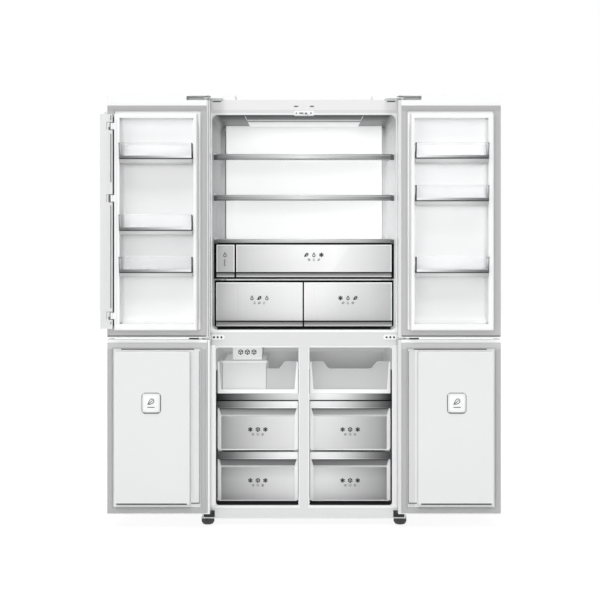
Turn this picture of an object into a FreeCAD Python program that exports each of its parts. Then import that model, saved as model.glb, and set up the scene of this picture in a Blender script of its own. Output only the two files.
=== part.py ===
"""Four-door fridge freezer, modelled in millimetres with its doors swung open.

Every piece is drawn in one workshop frame: x to the right, y from the cabinet's front plane to
the back, z up from the floor. Doors are drawn closed and swung open by their Placement.
"""
import FreeCAD
import Part
import Sketcher
import math
import os
import re

doc = FreeCAD.newDocument("fridge_freezer")
sheet = doc.addObject("Spreadsheet::Sheet", "sizes")

# Driving dimensions
DIMENSIONS = {
    # Cabinet
    "front_y": -232, "case_width": 908, "case_depth": 620, "case_top": 1900, "case_bottom": 34,
    "case_skin": 1.2, "case_round": 5, "fit_gap": 0.2, "run_gap": 0.3, "pin_gap": 0.06,
    "base_thick": 2, "machine_depth": 190, "machine_high": 206, "rail_middle": 842,
    # Fridge compartment
    "fridge_wall": 44, "fridge_rise": 32, "fridge_roof": 66, "fridge_rear": 90,
    "liner_wall": 2, "liner_round": 24, "liner_lip": 10, "top_lip": 18, "ledge_wide": 8, "ledge_high": 8,
    "duct_inset": 25, "duct_thick": 27, "duct_wall": 3, "duct_round": 10, "duct_lift": 26,
    "lamp_inset": 145, "lamp_front": 222, "lamp_deep": 246, "lamp_high": 6, "lamp_edge": 2,
    "guide_half": 45, "guide_deep": 30, "guide_low": 3, "groove_half": 12,
    "groove_mouth": 18, "groove_reach": 18, "groove_high": 8,
    # Shelves and their trims
    "shelf_front": 96, "shelf_rear": 32, "glass_thick": 4, "glass_side": 1, "trim_deep": 12,
    "groove_deep": 7, "glass_inset": 2, "trim_high": 26, "crisper_trim": 20, "trim_round": 3,
    "crisper_lift": 14, "lower_shelf_lift": 9.7, "upper_shelf_lift": 7.3,
    # Fridge drawers
    "drawer_front": 100, "drawer_rear": 50, "face_thick": 12, "drawer_wall": 3, "drawer_side": 2,
    "tub_inset": 6, "rim_drop": 15, "grip_high": 23, "grip_deep": 8, "face_gap": 5,
    "row_one_high": 153, "row_split": 18, "tank_wide": 96, "partition_thick": 6,
    "row_two_lift": 7, "row_two_high": 203, "row_two_inset": 13, "row_two_gap": 4,
    "floor_rail_wide": 8, "floor_rail_inset": 40, "face_round": 8,
    # Freezer compartments
    "freezer_wall": 61, "mullion_half": 24, "freezer_floor": 57, "freezer_drop": 46,
    "freezer_rear": 90, "step_rear": 70, "step_lift": 60, "step_slope": 40, "side_lip": 22,
    "mullion_lip": 5, "freezer_ledge": 20, "shelf_ledge": 8, "freezer_front": 60, "freezer_side": 3,
    "freezer_round": 14, "tub_rear": 60, "cover_rear": 50, "cover_thick": 6, "cover_lift": 5,
    "vent_wide": 8, "vent_high": 18, "vent_pitch": 14, "vent_count": 6, "vent_drop": 10, "vent_inset": 20,
    "freezer_trim_high": 29, "tray_drop": 70, "tray_high": 144, "tray_lip": 18,
    "tray_post": 7, "tray_flare": 9, "tray_recess": 14,
    "notch_wide": 192, "notch_deep": 33, "notch_slope": 26,
    "ice_box_side": 19, "ice_box_wide": 202, "ice_box_back": 330, "ice_maker_side": 47,
    "ice_maker_wide": 135, "ice_maker_gap": 4, "ice_maker_front": 76, "ice_maker_back": 330,
    "ice_maker_rise": 30, "low_drawer_lift": 5, "drawer_split": 10, "handle_gap": 7,
    "handle_high": 30, "handle_deep": 24, "grip_slot": 37, "freezer_face_thick": 28, "handle_round": 4,
    "freezer_rim_drop": 12, "low_drawer_rear": 15, "face_post": 16, "cheek": 5, "face_inset": 4,
    "face_margin": 5,
    # Doors
    "hinge_inset": 20, "door_gap": 10, "door_thick": 62, "door_half_gap": 3, "door_round": 8,
    "door_split": 8, "door_rise": 12, "lower_door_lift": 38,
    "pull_high": 26, "pull_deep": 20, "pull_lip": 6.5, "pull_wide": 30, "pull_inset": 24, "pull_hinge": 40,
    "door_skin": 1.2, "end_cap": 36, "foam_mouth": 60, "seal_lift": 1, "seal_base": 5, "seal_lobe": 4,
    "seal_wide": 26, "seal_free_wide": 33, "seal_hinge_inset": 14, "seal_free_inset": 2,
    "upper_seal_lift": 10, "upper_seal_drop": 46, "lower_seal_lift": 5, "lower_seal_drop": 13,
    "flange_thick": 3, "dike_free": 42, "dike_side": 7, "dike_crest": 38, "dike_round": 8, "dike_clear": 8,
    "recess_edge": 24, "recess_side": 16, "recess_lift": 28, "recess_drop": 19, "recess_floor": 20,
    "floor_skin": 2, "plateau_free": 34, "plateau_side": 22, "plateau_lift": 29, "plateau_clear": 6,
    "plateau_crest": 25, "plateau_round": 10, "strip_inset": 50, "step_strip_lift": 7,
    "filter_drop": 224, "filter_wide": 77, "filter_high": 82, "filter_round": 15,
    "filter_thick": 8, "filter_edge": 3,
    # Door bins
    "bin_side": 0.3, "bin_back": 0.4, "bin_wall": 2.5, "bin_high": 88, "bin_base": 18,
    "bin_reach": 64, "bin_lean": 12, "bin_trim_high": 15, "bin_trim_deep": 4,
    "left_bin_drop": 199, "right_bin_drop": 197, "low_bin_lift": 206, "left_bin_step": 182,
    "right_bin_step": 184,
    # Flip mullion
    "beam_left": 33, "beam_right": 22, "beam_thick": 20, "beam_lift": 14, "beam_drop": 6,
    "beam_round": 4, "beam_pin": 3, "nub_radius": 4, "nub_reach": 5, "bracket_high": 34, "bracket_thick": 5, "bracket_eye": 6,
    "bracket_low": 57, "bracket_shift": 101, "bracket_drop": 52,
    # Hinges
    "pin_radius": 5, "pin_deep": 20, "plate_thick": 4, "knuckle": 13, "arm_side": 25, "arm_wide": 49,
    "plate_back": 95, "slot_side": 8, "slot_low": 10, "slot_high": 9, "slot_clear": 4,
    "cover_wide": 149, "cover_high": 22, "cover_back": 112, "cover_front": 6, "cover_wall": 2,
    "cover_round": 7, "middle_long": 80, "flange_deep": 3, "middle_high": 22, "middle_round": 10,
    "bottom_high": 30, "bottom_long": 36, "screw_head": 4.5, "screw_high": 1.6,
    "screw_pitch": 16.5, "screw_inset": 14,
    # Feet, rollers and machine room
    "foot_radius": 29, "foot_high": 30, "stem_radius": 6, "foot_inset": 22, "foot_back": 45,
    "roller_radius": 22, "roller_wide": 20, "axle_radius": 4, "axle_long": 40, "roller_inset": 74,
    "roller_back": 60, "ear_thick": 3, "ear_gap": 1, "ear_half": 12, "compressor_x": 200,
    "compressor_radius": 68, "compressor_high": 150, "compressor_foot": 12, "compressor_round": 30,
    "louvre_wide": 70, "louvre_high": 7, "louvre_pitch": 20, "louvre_rows": 8, "louvre_columns": 5,
    "louvre_inset": 30, "rib_wide": 30, "rib_deep": 2, "rib_count": 5, "panel_margin": 80,
    "coil_half": 150, "coil_lift": 130, "coil_drop": 106, "tube_radius": 5, "tube_count": 4,
    "fin_thick": 2, "fin_count": 13,
}

# Dimensions that follow from the driving ones
DERIVED = {
    # Cabinet
    "half_width": "case_width / 2",
    "foam_bottom": "case_bottom + base_thick",
    "machine_top": "case_bottom + machine_high",
    "machine_front": "case_depth - machine_depth",
    # Fridge compartment
    "fridge_half": "half_width - fridge_wall",
    "fridge_bottom": "rail_middle + fridge_rise",
    "fridge_top": "case_top - fridge_roof",
    "fridge_depth": "case_depth - fridge_rear",
    "duct_half": "fridge_half - duct_inset",
    "duct_bottom": "fridge_bottom + duct_lift",
    "lamp_half": "fridge_half - lamp_inset",
    "lamp_back": "lamp_front + lamp_deep",
    "drawer_half": "fridge_half - drawer_side",
    "drawer_back": "fridge_depth - drawer_rear",
    "tank_inner": "drawer_half - tank_wide",
    "row_two_half": "fridge_half - row_two_inset",
    "row_two_bottom": "fridge_bottom + row_two_lift",
    "row_two_top": "row_two_bottom + row_two_high",
    "row_one_bottom": "row_two_top + row_split",
    "row_one_top": "row_one_bottom + row_one_high",
    "partition_top": "row_one_bottom - run_gap",
    "partition_bottom": "partition_top - partition_thick",
    "shelf_back": "fridge_depth - shelf_rear",
    "crisper_z": "row_one_top + crisper_lift",
    "shelf_space": "(fridge_top - crisper_z) / 3",
    "lower_shelf_z": "crisper_z + shelf_space + lower_shelf_lift",
    "upper_shelf_z": "crisper_z + 2 * shelf_space + upper_shelf_lift",
    # Freezer compartments
    "freezer_half": "half_width - freezer_wall",
    "freezer_bottom": "case_bottom + freezer_floor",
    "freezer_top": "rail_middle - freezer_drop",
    "freezer_depth": "case_depth - freezer_rear",
    "step_depth": "machine_front - step_rear",
    "step_height": "machine_top + step_lift",
    "freezer_outer": "freezer_half - freezer_side",
    "freezer_inner": "mullion_half + freezer_side",
    "freezer_back": "freezer_depth - tub_rear",
    "cover_y": "freezer_depth - cover_rear",
    "cover_bottom": "step_height + cover_lift",
    "tray_top": "freezer_top - tray_drop",
    "tray_bottom": "tray_top - tray_high",
    "tray_floor": "tray_bottom + run_gap",
    "ice_box_outer": "freezer_outer - ice_box_side",
    "ice_box_inner": "ice_box_outer - ice_box_wide",
    "ice_maker_outer": "ice_box_outer - ice_maker_side",
    "ice_maker_inner": "ice_maker_outer - ice_maker_wide",
    "ice_maker_bottom": "tray_top + ice_maker_gap",
    "low_drawer_z": "freezer_bottom + low_drawer_lift",
    "handle_top": "tray_bottom - freezer_trim_high - handle_gap",
    "freezer_drawer_high": "(handle_top - low_drawer_z - drawer_split) / 2",
    "mid_drawer_z": "low_drawer_z + freezer_drawer_high + drawer_split",
    "freezer_face_high": "freezer_drawer_high - handle_high - grip_slot",
    "low_drawer_back": "step_depth - low_drawer_rear",
    "coil_bottom": "step_height + coil_lift",
    "coil_top": "freezer_top - coil_drop",
    # Doors
    "hinge_x": "half_width - hinge_inset",
    "hinge_y": "-(door_gap + door_thick / 2)",
    "door_front": "-(door_gap + door_thick)",
    "door_back": "-door_gap",
    "upper_door_bottom": "rail_middle + door_split / 2",
    "upper_door_top": "case_top + door_rise",
    "lower_door_bottom": "case_bottom + lower_door_lift",
    "lower_door_top": "rail_middle - door_split / 2",
    "upper_seal_bottom": "upper_door_bottom + upper_seal_lift",
    "upper_seal_top": "upper_door_top - upper_seal_drop",
    "lower_seal_bottom": "lower_door_bottom + lower_seal_lift",
    "lower_seal_top": "lower_door_top - lower_seal_drop",
    "dike_hinge": "fridge_half - dike_side",
    "dike_bottom": "fridge_bottom + dike_clear",
    "dike_top": "fridge_top - dike_clear",
    "recess_free": "dike_free + recess_edge",
    "recess_hinge": "dike_hinge - recess_side",
    "recess_bottom": "dike_bottom + recess_lift",
    "recess_top": "dike_top - recess_drop",
    "recess_back": "door_back - recess_floor",
    "plateau_hinge": "freezer_half - plateau_side",
    "plateau_bottom": "freezer_bottom + plateau_lift",
    "plateau_top": "freezer_top - plateau_clear",
    "step_strip_hinge": "half_width - strip_inset",
    "filter_x": "(plateau_free + plateau_hinge) / 2",
    "filter_z": "plateau_top - filter_drop",
    "left_bin_one": "recess_top - left_bin_drop",
    "left_bin_three": "recess_bottom + low_bin_lift",
    "left_bin_two": "left_bin_three + left_bin_step",
    "right_bin_one": "recess_top - right_bin_drop",
    "right_bin_two": "right_bin_one - right_bin_step",
    "right_bin_three": "recess_bottom + low_bin_lift",
    # Flip mullion
    "beam_bottom": "fridge_bottom + beam_lift",
    "beam_top": "fridge_top - guide_low - beam_drop",
    "bracket_one": "beam_bottom + bracket_low",
    "bracket_two": "(beam_bottom + beam_top) / 2 + bracket_shift",
    "bracket_three": "beam_top - bracket_drop",
    # Hinges, rollers and feet
    "arm_outer": "hinge_x - arm_side",
    "arm_inner": "arm_outer - arm_wide",
    "slot_end": "arm_inner - slot_side",
    "cover_inner": "half_width - cover_wide",
    "middle_inner": "hinge_x - middle_long",
    "bottom_inner": "hinge_x - bottom_long",
    "roller_x": "half_width - roller_inset",
    "axle_y": "case_depth - roller_back",
    "foot_x": "half_width - foot_inset",
}

NAMES = list(DIMENSIONS) + list(DERIVED)
for row, (name, value) in enumerate(list(DIMENSIONS.items()) + list(DERIVED.items()), start=1):
    sheet.set(f"A{row}", name)
    sheet.set(f"B{row}", f"={value}" if name in DERIVED else str(value))
    sheet.setAlias(f"B{row}", name)
doc.recompute()

SUB_PARTS = []
LEFT, RIGHT = "-1", "1"
SIDES = (("left", LEFT), ("right", RIGHT))


def tied(text):
    """Expression text with every dimension's name pointing at the sheet."""
    return re.sub(r"[a-z][a-z_]*", lambda word: f"sizes.{word[0]}" if word[0] in NAMES else word[0], text)


def number(text):
    return float(sheet.evalExpression(tied(text)))


def bind(item, name, text):
    item.setExpression(name, tied(text))


def new_body():
    return doc.addObject("PartDesign::Body", "Piece")


def sketch_on(body, role, at):
    """Empty sketch on one of the body's origin planes, moved along that plane's world axis."""
    sketch = body.newObject("Sketcher::SketchObject", "Sketch")
    plane = next(item for item in body.Origin.OriginFeatures if item.Role == role)
    sketch.AttachmentSupport = [(plane, "")]
    sketch.MapMode = "FlatFace"
    bind(sketch, "AttachmentOffset.Base.z", f"-({at})" if role == "XZ_Plane" else at)
    return sketch


def hold(sketch, kind, value, text, *places):
    index = sketch.addConstraint(Sketcher.Constraint(kind, *places, value))
    bind(sketch, f"Constraints[{index}]", text)


def polygon(body, role, corners, at):
    """Closed outline whose corners are pairs of expressions in the plane's world axes."""
    sketch = sketch_on(body, role, at)
    points = [FreeCAD.Vector(number(across), number(up), 0) for across, up in corners]
    count = len(points)
    for index in range(count):
        sketch.addGeometry(Part.LineSegment(points[index], points[(index + 1) % count]), False)
    for index in range(count):
        sketch.addConstraint(Sketcher.Constraint("Coincident", index, 2, (index + 1) % count, 1))
    for index, (across, up) in enumerate(corners):
        hold(sketch, "DistanceX", points[index].x, across, -1, 1, index, 1)
        hold(sketch, "DistanceY", points[index].y, up, -1, 1, index, 1)
    return sketch


def circle(body, role, centre, radius, at):
    sketch = sketch_on(body, role, at)
    middle = FreeCAD.Vector(number(centre[0]), number(centre[1]), 0)
    sketch.addGeometry(Part.Circle(middle, FreeCAD.Vector(0, 0, 1), number(radius)), False)
    hold(sketch, "DistanceX", middle.x, centre[0], -1, 1, 0, 3)
    hold(sketch, "DistanceY", middle.y, centre[1], -1, 1, 0, 3)
    hold(sketch, "Radius", number(radius), radius, 0)
    return sketch


def extrude(body, kind, sketch, length):
    """Pad or pocket that runs along the world axis in its positive direction."""
    role = sketch.AttachmentSupport[0][0].Role
    feature = body.newObject(f"PartDesign::{kind}", kind)
    feature.Profile = sketch
    bind(feature, "Length", length)
    feature.Reversed = (role == "XZ_Plane") == (kind == "Pad")
    sketch.Visibility = False
    return feature


def profile(body, role, corners, start, end, kind="Pad"):
    return extrude(body, kind, polygon(body, role, corners, start), f"({end}) - ({start})")


def add_round(body, role, centre, radius, start, end, kind="Pad"):
    return extrude(body, kind, circle(body, role, centre, radius, start), f"({end}) - ({start})")


def add_block(body, across, deep, up, kind="Pad"):
    """Rectangular pad between pairs of x, y and z expressions."""
    corners = [(across[0], deep[0]), (across[1], deep[0]), (across[1], deep[1]), (across[0], deep[1])]
    return profile(body, "XY_Plane", corners, up[0], up[1], kind)


def cut_block(body, across, deep, up):
    return add_block(body, across, deep, up, "Pocket")


def straight_along(edge, axis):
    """True for a straight edge that is parallel to axis 0, 1 or 2."""
    if edge.Curve.TypeId != "Part::GeomLine":
        return False
    return abs(edge.tangentAt(edge.FirstParameter)[axis]) > 0.999


def near(value, text):
    return abs(value - number(text)) < 0.01


def upright_at(edge, y_text):
    return straight_along(edge, 2) and near(edge.CenterOfMass.y, y_text)


def level_at(edge, y_text):
    """True for an edge from left to right that lies at the given y."""
    return straight_along(edge, 0) and near(edge.CenterOfMass.y, y_text)


def soften(body, radius, chosen, kind="Fillet"):
    """Fillet or chamfer on every edge of the body that the chosen test picks."""
    doc.recompute()
    base = body.Tip
    names = [f"Edge{index}" for index, edge in enumerate(base.Shape.Edges, start=1) if chosen(edge)]
    feature = body.newObject(f"PartDesign::{kind}", kind)
    feature.Base = (base, names)
    bind(feature, "Radius" if kind == "Fillet" else "Size", radius)
    return feature


def repeat(body, originals, axis, step, count):
    """Row of equal features along one of the body's own axes."""
    doc.recompute()
    pattern = body.newObject("PartDesign::LinearPattern", "Row")
    pattern.Originals = originals
    pattern.Direction = (next(item for item in body.Origin.OriginFeatures if item.Role == axis), [""])
    bind(pattern, "Length", f"({step}) * ({count} - 1)")
    bind(pattern, "Occurrences", count)
    body.Tip = pattern
    return pattern


def mirrored(item):
    """The same piece on the other side of the cabinet."""
    twin = doc.addObject("Part::Mirroring", "Twin")
    twin.Source = item
    twin.Normal = FreeCAD.Vector(1, 0, 0)
    return twin


def group(items):
    """Like pieces that share one node, each still a solid of its own."""
    bundle = doc.addObject("Part::Compound", "Group")
    bundle.Links = items
    return bundle


def publish(item, label, door_side=None):
    """Names a finished sub-part and stands it in the part's frame, on an open door if it has one."""
    item.Label = label
    if door_side:
        item.Placement = FreeCAD.Placement(FreeCAD.Vector(), FreeCAD.Rotation(FreeCAD.Vector(0, 0, 1), 180))
        bind(item, "Placement.Base.x", f"2 * ({door_side}) * hinge_x")
        bind(item, "Placement.Base.y", "front_y + 2 * hinge_y")
    else:
        bind(item, "Placement.Base.y", "front_y")
    SUB_PARTS.append(item)


def both(text):
    """Pair of expressions from -text to +text."""
    return (f"-({text})", text)


def sided(sign, first, second):
    """Pair of x expressions on one side of the cabinet."""
    return (f"{sign} * ({first})", f"{sign} * ({second})")


def build_case():
    """Painted sheet wrapper: sides, top and front frame, open below and behind."""
    body = new_body()
    add_block(body, both("half_width"), ("0", "case_depth"), ("case_bottom", "case_top"))
    soften(body, "case_round", lambda edge: straight_along(edge, 1) and near(edge.CenterOfMass.z, "case_top"))
    inner = both("half_width - case_skin")
    cut_block(body, inner, ("case_skin", "case_depth"), ("case_bottom", "case_top - case_round"))
    cut_block(body, both("half_width - case_round"), ("case_skin", "case_depth"),
              ("case_bottom", "case_top - case_skin"))
    through = ("0", "case_skin")
    cut_block(body, both("fridge_half + liner_lip + fit_gap"), through,
              ("fridge_bottom - liner_lip - fit_gap", "fridge_top + top_lip + fit_gap"))
    for _, sign in SIDES:
        across = sided(sign, "mullion_half - mullion_lip - fit_gap", "freezer_half + side_lip + fit_gap")
        cut_block(body, across, through,
                  ("freezer_bottom - liner_lip - fit_gap", "freezer_top + liner_lip + fit_gap"))
    publish(body, "outer_case")


def build_foam():
    """Foamed insulation between case and liners, notched for the machine room."""
    body = new_body()
    front = "liner_wall + fit_gap"
    back = "case_depth - case_skin - 2 * fit_gap"
    top = "case_top - case_round - fit_gap"
    side_view = [(front, "foam_bottom + fit_gap"), ("machine_front - fit_gap", "foam_bottom + fit_gap"),
                 ("machine_front - fit_gap", "machine_top"), (back, "machine_top"), (back, top), (front, top)]
    half = "half_width - case_skin - fit_gap"
    profile(body, "YZ_Plane", side_view, f"-({half})", half)
    shell = "(liner_wall + fit_gap)"
    cut_block(body, both(f"fridge_half + {shell}"), (front, f"fridge_depth + {shell}"),
              (f"fridge_bottom - {shell}", f"fridge_top + {shell}"))
    for _, sign in SIDES:
        corners = freezer_outline(shell, front)
        first = f"{sign} * (mullion_half - {shell})"
        second = f"{sign} * (freezer_half + {shell})"
        ends = (first, second) if sign == RIGHT else (second, first)
        profile(body, "YZ_Plane", corners, ends[0], ends[1], "Pocket")
    cut_block(body, both("guide_half + fit_gap"), (front, "guide_deep + fit_gap"),
              ("fridge_top", "fridge_top + top_lip + fit_gap"))
    cut_block(body, both("mullion_half"), ("freezer_depth - fit_gap", f"freezer_depth + {shell}"),
              ("step_height - fit_gap", "freezer_top + fit_gap"))
    publish(body, "foam_insulation")


def freezer_outline(grow, front):
    """Side view of a freezer cavity, stepped up over the machine room and grown on every wall."""
    return [(front, f"freezer_bottom - ({grow})"), (f"step_depth + ({grow})", f"freezer_bottom - ({grow})"),
            (f"step_depth + step_slope + ({grow})", f"step_height - ({grow})"),
            (f"freezer_depth + ({grow})", f"step_height - ({grow})"),
            (f"freezer_depth + ({grow})", f"freezer_top + ({grow})"), (front, f"freezer_top + ({grow})")]


def build_fridge_liner():
    """White moulded tub with a flush front lip, shelf ledges and floor rails."""
    body = new_body()
    add_block(body, both("fridge_half + liner_lip"), ("0", "liner_wall"),
              ("fridge_bottom - liner_lip", "fridge_top + top_lip"))
    add_block(body, both("fridge_half + liner_wall"), ("0", "fridge_depth + liner_wall"),
              ("fridge_bottom - liner_wall", "fridge_top + liner_wall"))
    cut_block(body, both("fridge_half"), ("0", "fridge_depth"), ("fridge_bottom", "fridge_top"))
    soften(body, "liner_round", lambda edge: straight_along(edge, 1)
           and near(abs(edge.CenterOfMass.x), "fridge_half"))
    seats = ["upper_shelf_z + trim_high / 2 - glass_inset - glass_thick",
             "lower_shelf_z + trim_high / 2 - glass_inset - glass_thick",
             "crisper_z + crisper_trim / 2 - glass_inset - glass_thick", "partition_bottom"]
    for _, sign in SIDES:
        for seat in seats:
            add_block(body, sided(sign, "fridge_half - ledge_wide", "fridge_half"),
                      ("drawer_front + face_thick", "shelf_back"), (f"{seat} - ledge_high", seat))
        for place in ("floor_rail_inset", "row_two_half - floor_rail_inset"):
            add_block(body, sided(sign, f"{place} - floor_rail_wide", place),
                      ("drawer_front + face_thick", "drawer_back"),
                      ("fridge_bottom", "row_two_bottom - run_gap"))
    cut_block(body, both("guide_half + fit_gap"), ("0", "guide_deep + fit_gap"),
              ("fridge_top - liner_wall", "fridge_top + top_lip"))
    publish(body, "fridge_liner")


def build_freezer_liner():
    """White twin tub with a centre mullion, runners and a floor stepped over the machine room."""
    body = new_body()
    add_block(body, both("freezer_half + side_lip"), ("0", "liner_wall"),
              ("freezer_bottom - liner_lip", "freezer_top + liner_lip"))
    for _, sign in SIDES:
        near_wall, far_wall = "mullion_half - liner_wall", "freezer_half + liner_wall"
        ends = sided(sign, near_wall, far_wall) if sign == RIGHT else sided(sign, far_wall, near_wall)
        profile(body, "YZ_Plane", freezer_outline("liner_wall", "0"), *ends)
    cut_block(body, both("mullion_half - mullion_lip"), ("0", "liner_wall"),
              ("freezer_bottom - liner_lip", "freezer_top + liner_lip"))
    for _, sign in SIDES:
        ends = sided(sign, "mullion_half", "freezer_half")
        ends = ends if sign == RIGHT else ends[::-1]
        profile(body, "YZ_Plane", freezer_outline("0", "0"), *ends, "Pocket")
    soften(body, "freezer_round", lambda edge: straight_along(edge, 1)
           and near(abs(edge.CenterOfMass.x), "freezer_half")
           and (near(edge.CenterOfMass.z, "freezer_bottom") or near(edge.CenterOfMass.z, "freezer_top")))
    bridge = ("freezer_depth", "freezer_depth + liner_wall")
    add_block(body, both("mullion_half"), bridge, ("step_height", "freezer_top"))
    runner_top = "mid_drawer_z - run_gap"
    shelf_seat = "tray_bottom - glass_thick"
    for _, sign in SIDES:
        for inner, outer in (("freezer_half - {0}", "freezer_half"), ("mullion_half", "mullion_half + {0}")):
            runner = sided(sign, inner.format("freezer_ledge"), outer.format("freezer_ledge"))
            add_block(body, runner, ("freezer_front + freezer_face_thick", "freezer_back"),
                      (f"{runner_top} - ledge_high", runner_top))
            seat = sided(sign, inner.format("shelf_ledge"), outer.format("shelf_ledge"))
            add_block(body, seat, ("freezer_front + trim_deep", "freezer_back"),
                      (f"{shelf_seat} - ledge_high", shelf_seat))
        for place in ("freezer_inner + floor_rail_inset", "freezer_outer - floor_rail_inset"):
            add_block(body, sided(sign, place, f"{place} + floor_rail_wide"),
                      ("freezer_front + freezer_face_thick", "low_drawer_back"),
                      ("freezer_bottom", "low_drawer_z - run_gap"))
    publish(body, "freezer_liner")


def build_rear_panel():
    """Sheet that closes the back, with shallow upright stiffening ribs."""
    body = new_body()
    face = "case_depth - case_skin - fit_gap"
    add_block(body, both("half_width - case_skin - fit_gap"), (face, f"{face} + case_skin"),
              ("machine_top", "case_top - case_round - fit_gap"))
    span = "2 * (half_width - panel_margin) - rib_wide"
    rib = add_block(body, ("-(half_width - panel_margin)", "-(half_width - panel_margin) + rib_wide"),
                    (f"{face} + case_skin", f"{face} + case_skin + rib_deep"),
                    ("machine_top + panel_margin", "case_top - panel_margin"))
    repeat(body, [rib], "X_Axis", f"({span}) / (rib_count - 1)", "rib_count")
    publish(body, "rear_panel")


def build_base_plate():
    """Steel floor pan with machine room sides, foot stem holes, roller slots and their ears."""
    body = new_body()
    plate_z = ("case_bottom", "foam_bottom")
    half, back = "half_width - case_skin - fit_gap", "case_depth - case_skin - fit_gap"
    add_block(body, both(half), ("case_skin + fit_gap", back), plate_z)
    stem_hole = "stem_radius + pin_gap"
    slot_inner, slot_outer = "roller_x - roller_wide / 2 - ear_gap", "roller_x + roller_wide / 2 + ear_gap"
    for _, sign in SIDES:
        add_block(body, sided(sign, f"{half} - base_thick", half), ("machine_front", back),
                  ("foam_bottom", "machine_top - fit_gap"))
        add_round(body, "XY_Plane", (f"{sign} * foot_x", "foot_back"), stem_hole, *plate_z, "Pocket")
        cut_block(body, sided(sign, slot_inner, slot_outer),
                  ("axle_y - roller_radius", "axle_y + roller_radius"), plate_z)
        for inner in (f"{slot_inner} - ear_thick", slot_outer):
            ends = sided(sign, inner, f"{inner} + ear_thick")
            ends = ends if sign == RIGHT else ends[::-1]
            ear = [("axle_y - ear_half", "case_bottom"), ("axle_y - ear_half", "roller_radius - axle_radius"),
                   ("axle_y - ear_half / 2", "roller_radius - 2 * axle_radius"),
                   ("axle_y + ear_half / 2", "roller_radius - 2 * axle_radius"),
                   ("axle_y + ear_half", "roller_radius - axle_radius"), ("axle_y + ear_half", "case_bottom")]
            profile(body, "YZ_Plane", ear, *ends)
            add_round(body, "YZ_Plane", ("axle_y", "roller_radius"), "axle_radius + pin_gap", *ends, "Pocket")
    publish(body, "base_plate")


def build_machine_room():
    """Louvred rear cover, hermetic compressor on its feet, and the finned evaporators."""
    cover = new_body()
    face = "case_depth - case_skin - fit_gap"
    half = "half_width - case_skin - fit_gap"
    add_block(cover, both(half), (face, f"{face} + case_skin"),
              ("foam_bottom + fit_gap", "machine_top - fit_gap"))
    step = f"(2 * ({half}) - 2 * louvre_inset - louvre_wide) / (louvre_columns - 1)"
    for column in range(int(number("louvre_columns"))):
        first = f"-({half}) + louvre_inset + {column} * {step}"
        slot = cut_block(cover, (first, f"{first} + louvre_wide"), (face, f"{face} + case_skin"),
                         ("foam_bottom + louvre_inset", "foam_bottom + louvre_inset + louvre_high"))
        repeat(cover, [slot], "Z_Axis", "louvre_pitch", "louvre_rows")
    publish(cover, "machine_room_cover")

    compressor = new_body()
    centre_y = "case_depth - machine_depth / 2"
    add_round(compressor, "XY_Plane", ("-compressor_x", centre_y), "compressor_radius",
              "foam_bottom + compressor_foot", "foam_bottom + compressor_high")
    soften(compressor, "compressor_round", lambda edge: edge.Curve.TypeId == "Part::GeomCircle")
    add_block(compressor, ("-compressor_x - compressor_radius", "-compressor_x + compressor_radius"),
              (f"{centre_y} - compressor_radius", f"{centre_y} + compressor_radius"),
              ("foam_bottom + compressor_foot", "foam_bottom + compressor_foot + base_thick * 2"))
    for across in ("-", "+"):
        for deep in ("-", "+"):
            spot = (f"-compressor_x {across} (compressor_radius - compressor_foot)",
                    f"{centre_y} {deep} (compressor_radius - compressor_foot)")
            add_round(compressor, "XY_Plane", spot, "compressor_foot",
                      "foam_bottom", "foam_bottom + compressor_foot + base_thick")
    publish(compressor, "compressor")

    coil = new_body()
    middle = "(mullion_half + freezer_half) / 2"
    coil_y = ("cover_y + cover_thick + run_gap", "freezer_depth - run_gap")
    fin = add_block(coil, (f"{middle} - coil_half", f"{middle} - coil_half + fin_thick"), coil_y,
                    ("coil_bottom", "coil_top"))
    tube_step = "(coil_top - coil_bottom) / tube_count"
    tube = add_round(coil, "YZ_Plane", (f"({coil_y[0]} + {coil_y[1]}) / 2", f"coil_bottom + {tube_step} / 2"),
                     "tube_radius", f"{middle} - coil_half", f"{middle} + coil_half")
    repeat(coil, [tube], "Z_Axis", tube_step, "tube_count")
    repeat(coil, [fin], "X_Axis", "(2 * coil_half - fin_thick) / (fin_count - 1)", "fin_count")
    publish(group([coil, mirrored(coil)]), "evaporator_coils")


def build_fridge_fittings():
    """Back duct panel, ceiling lamp, mullion guide and drawer partition."""
    duct = new_body()
    duct_front = "fridge_depth - duct_thick"
    top = "fridge_top - run_gap"
    add_block(duct, both("duct_half"), (duct_front, "fridge_depth - fit_gap"), ("duct_bottom", top))
    soften(duct, "duct_round", lambda edge: upright_at(edge, duct_front))
    cut_block(duct, both("duct_half - duct_wall - duct_round"),
              (f"{duct_front} + duct_wall", "fridge_depth - fit_gap"),
              ("duct_bottom + duct_wall", f"{top} - duct_wall"))
    publish(duct, "fridge_duct_panel")

    lamp = new_body()
    lamp_z = ("fridge_top - lamp_high", "fridge_top - fit_gap")
    add_block(lamp, both("lamp_half"), ("lamp_front", "lamp_back"), lamp_z)
    soften(lamp, "lamp_edge", lambda edge: near(edge.CenterOfMass.z, lamp_z[0]), "Chamfer")
    publish(lamp, "ceiling_lamp")

    guide = new_body()
    low, high = "fridge_top - guide_low", "fridge_top + top_lip"
    add_block(guide, both("guide_half"), ("0", "guide_deep"), (low, high))
    soften(guide, "beam_round", lambda edge: straight_along(edge, 1))
    groove = [("-groove_half / 2", "0"), ("groove_mouth", "0"), ("groove_half", "groove_reach"),
              ("-groove_half", "groove_reach")]
    profile(guide, "XY_Plane", groove, low, f"{low} + groove_high", "Pocket")
    publish(guide, "mullion_guide")

    partition = new_body()
    add_block(partition, both("drawer_half"), ("drawer_front", "shelf_back"),
              ("partition_bottom", "partition_top"))
    soften(partition, "partition_thick / 3", lambda edge: level_at(edge, "drawer_front"))
    publish(partition, "drawer_partition")


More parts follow.
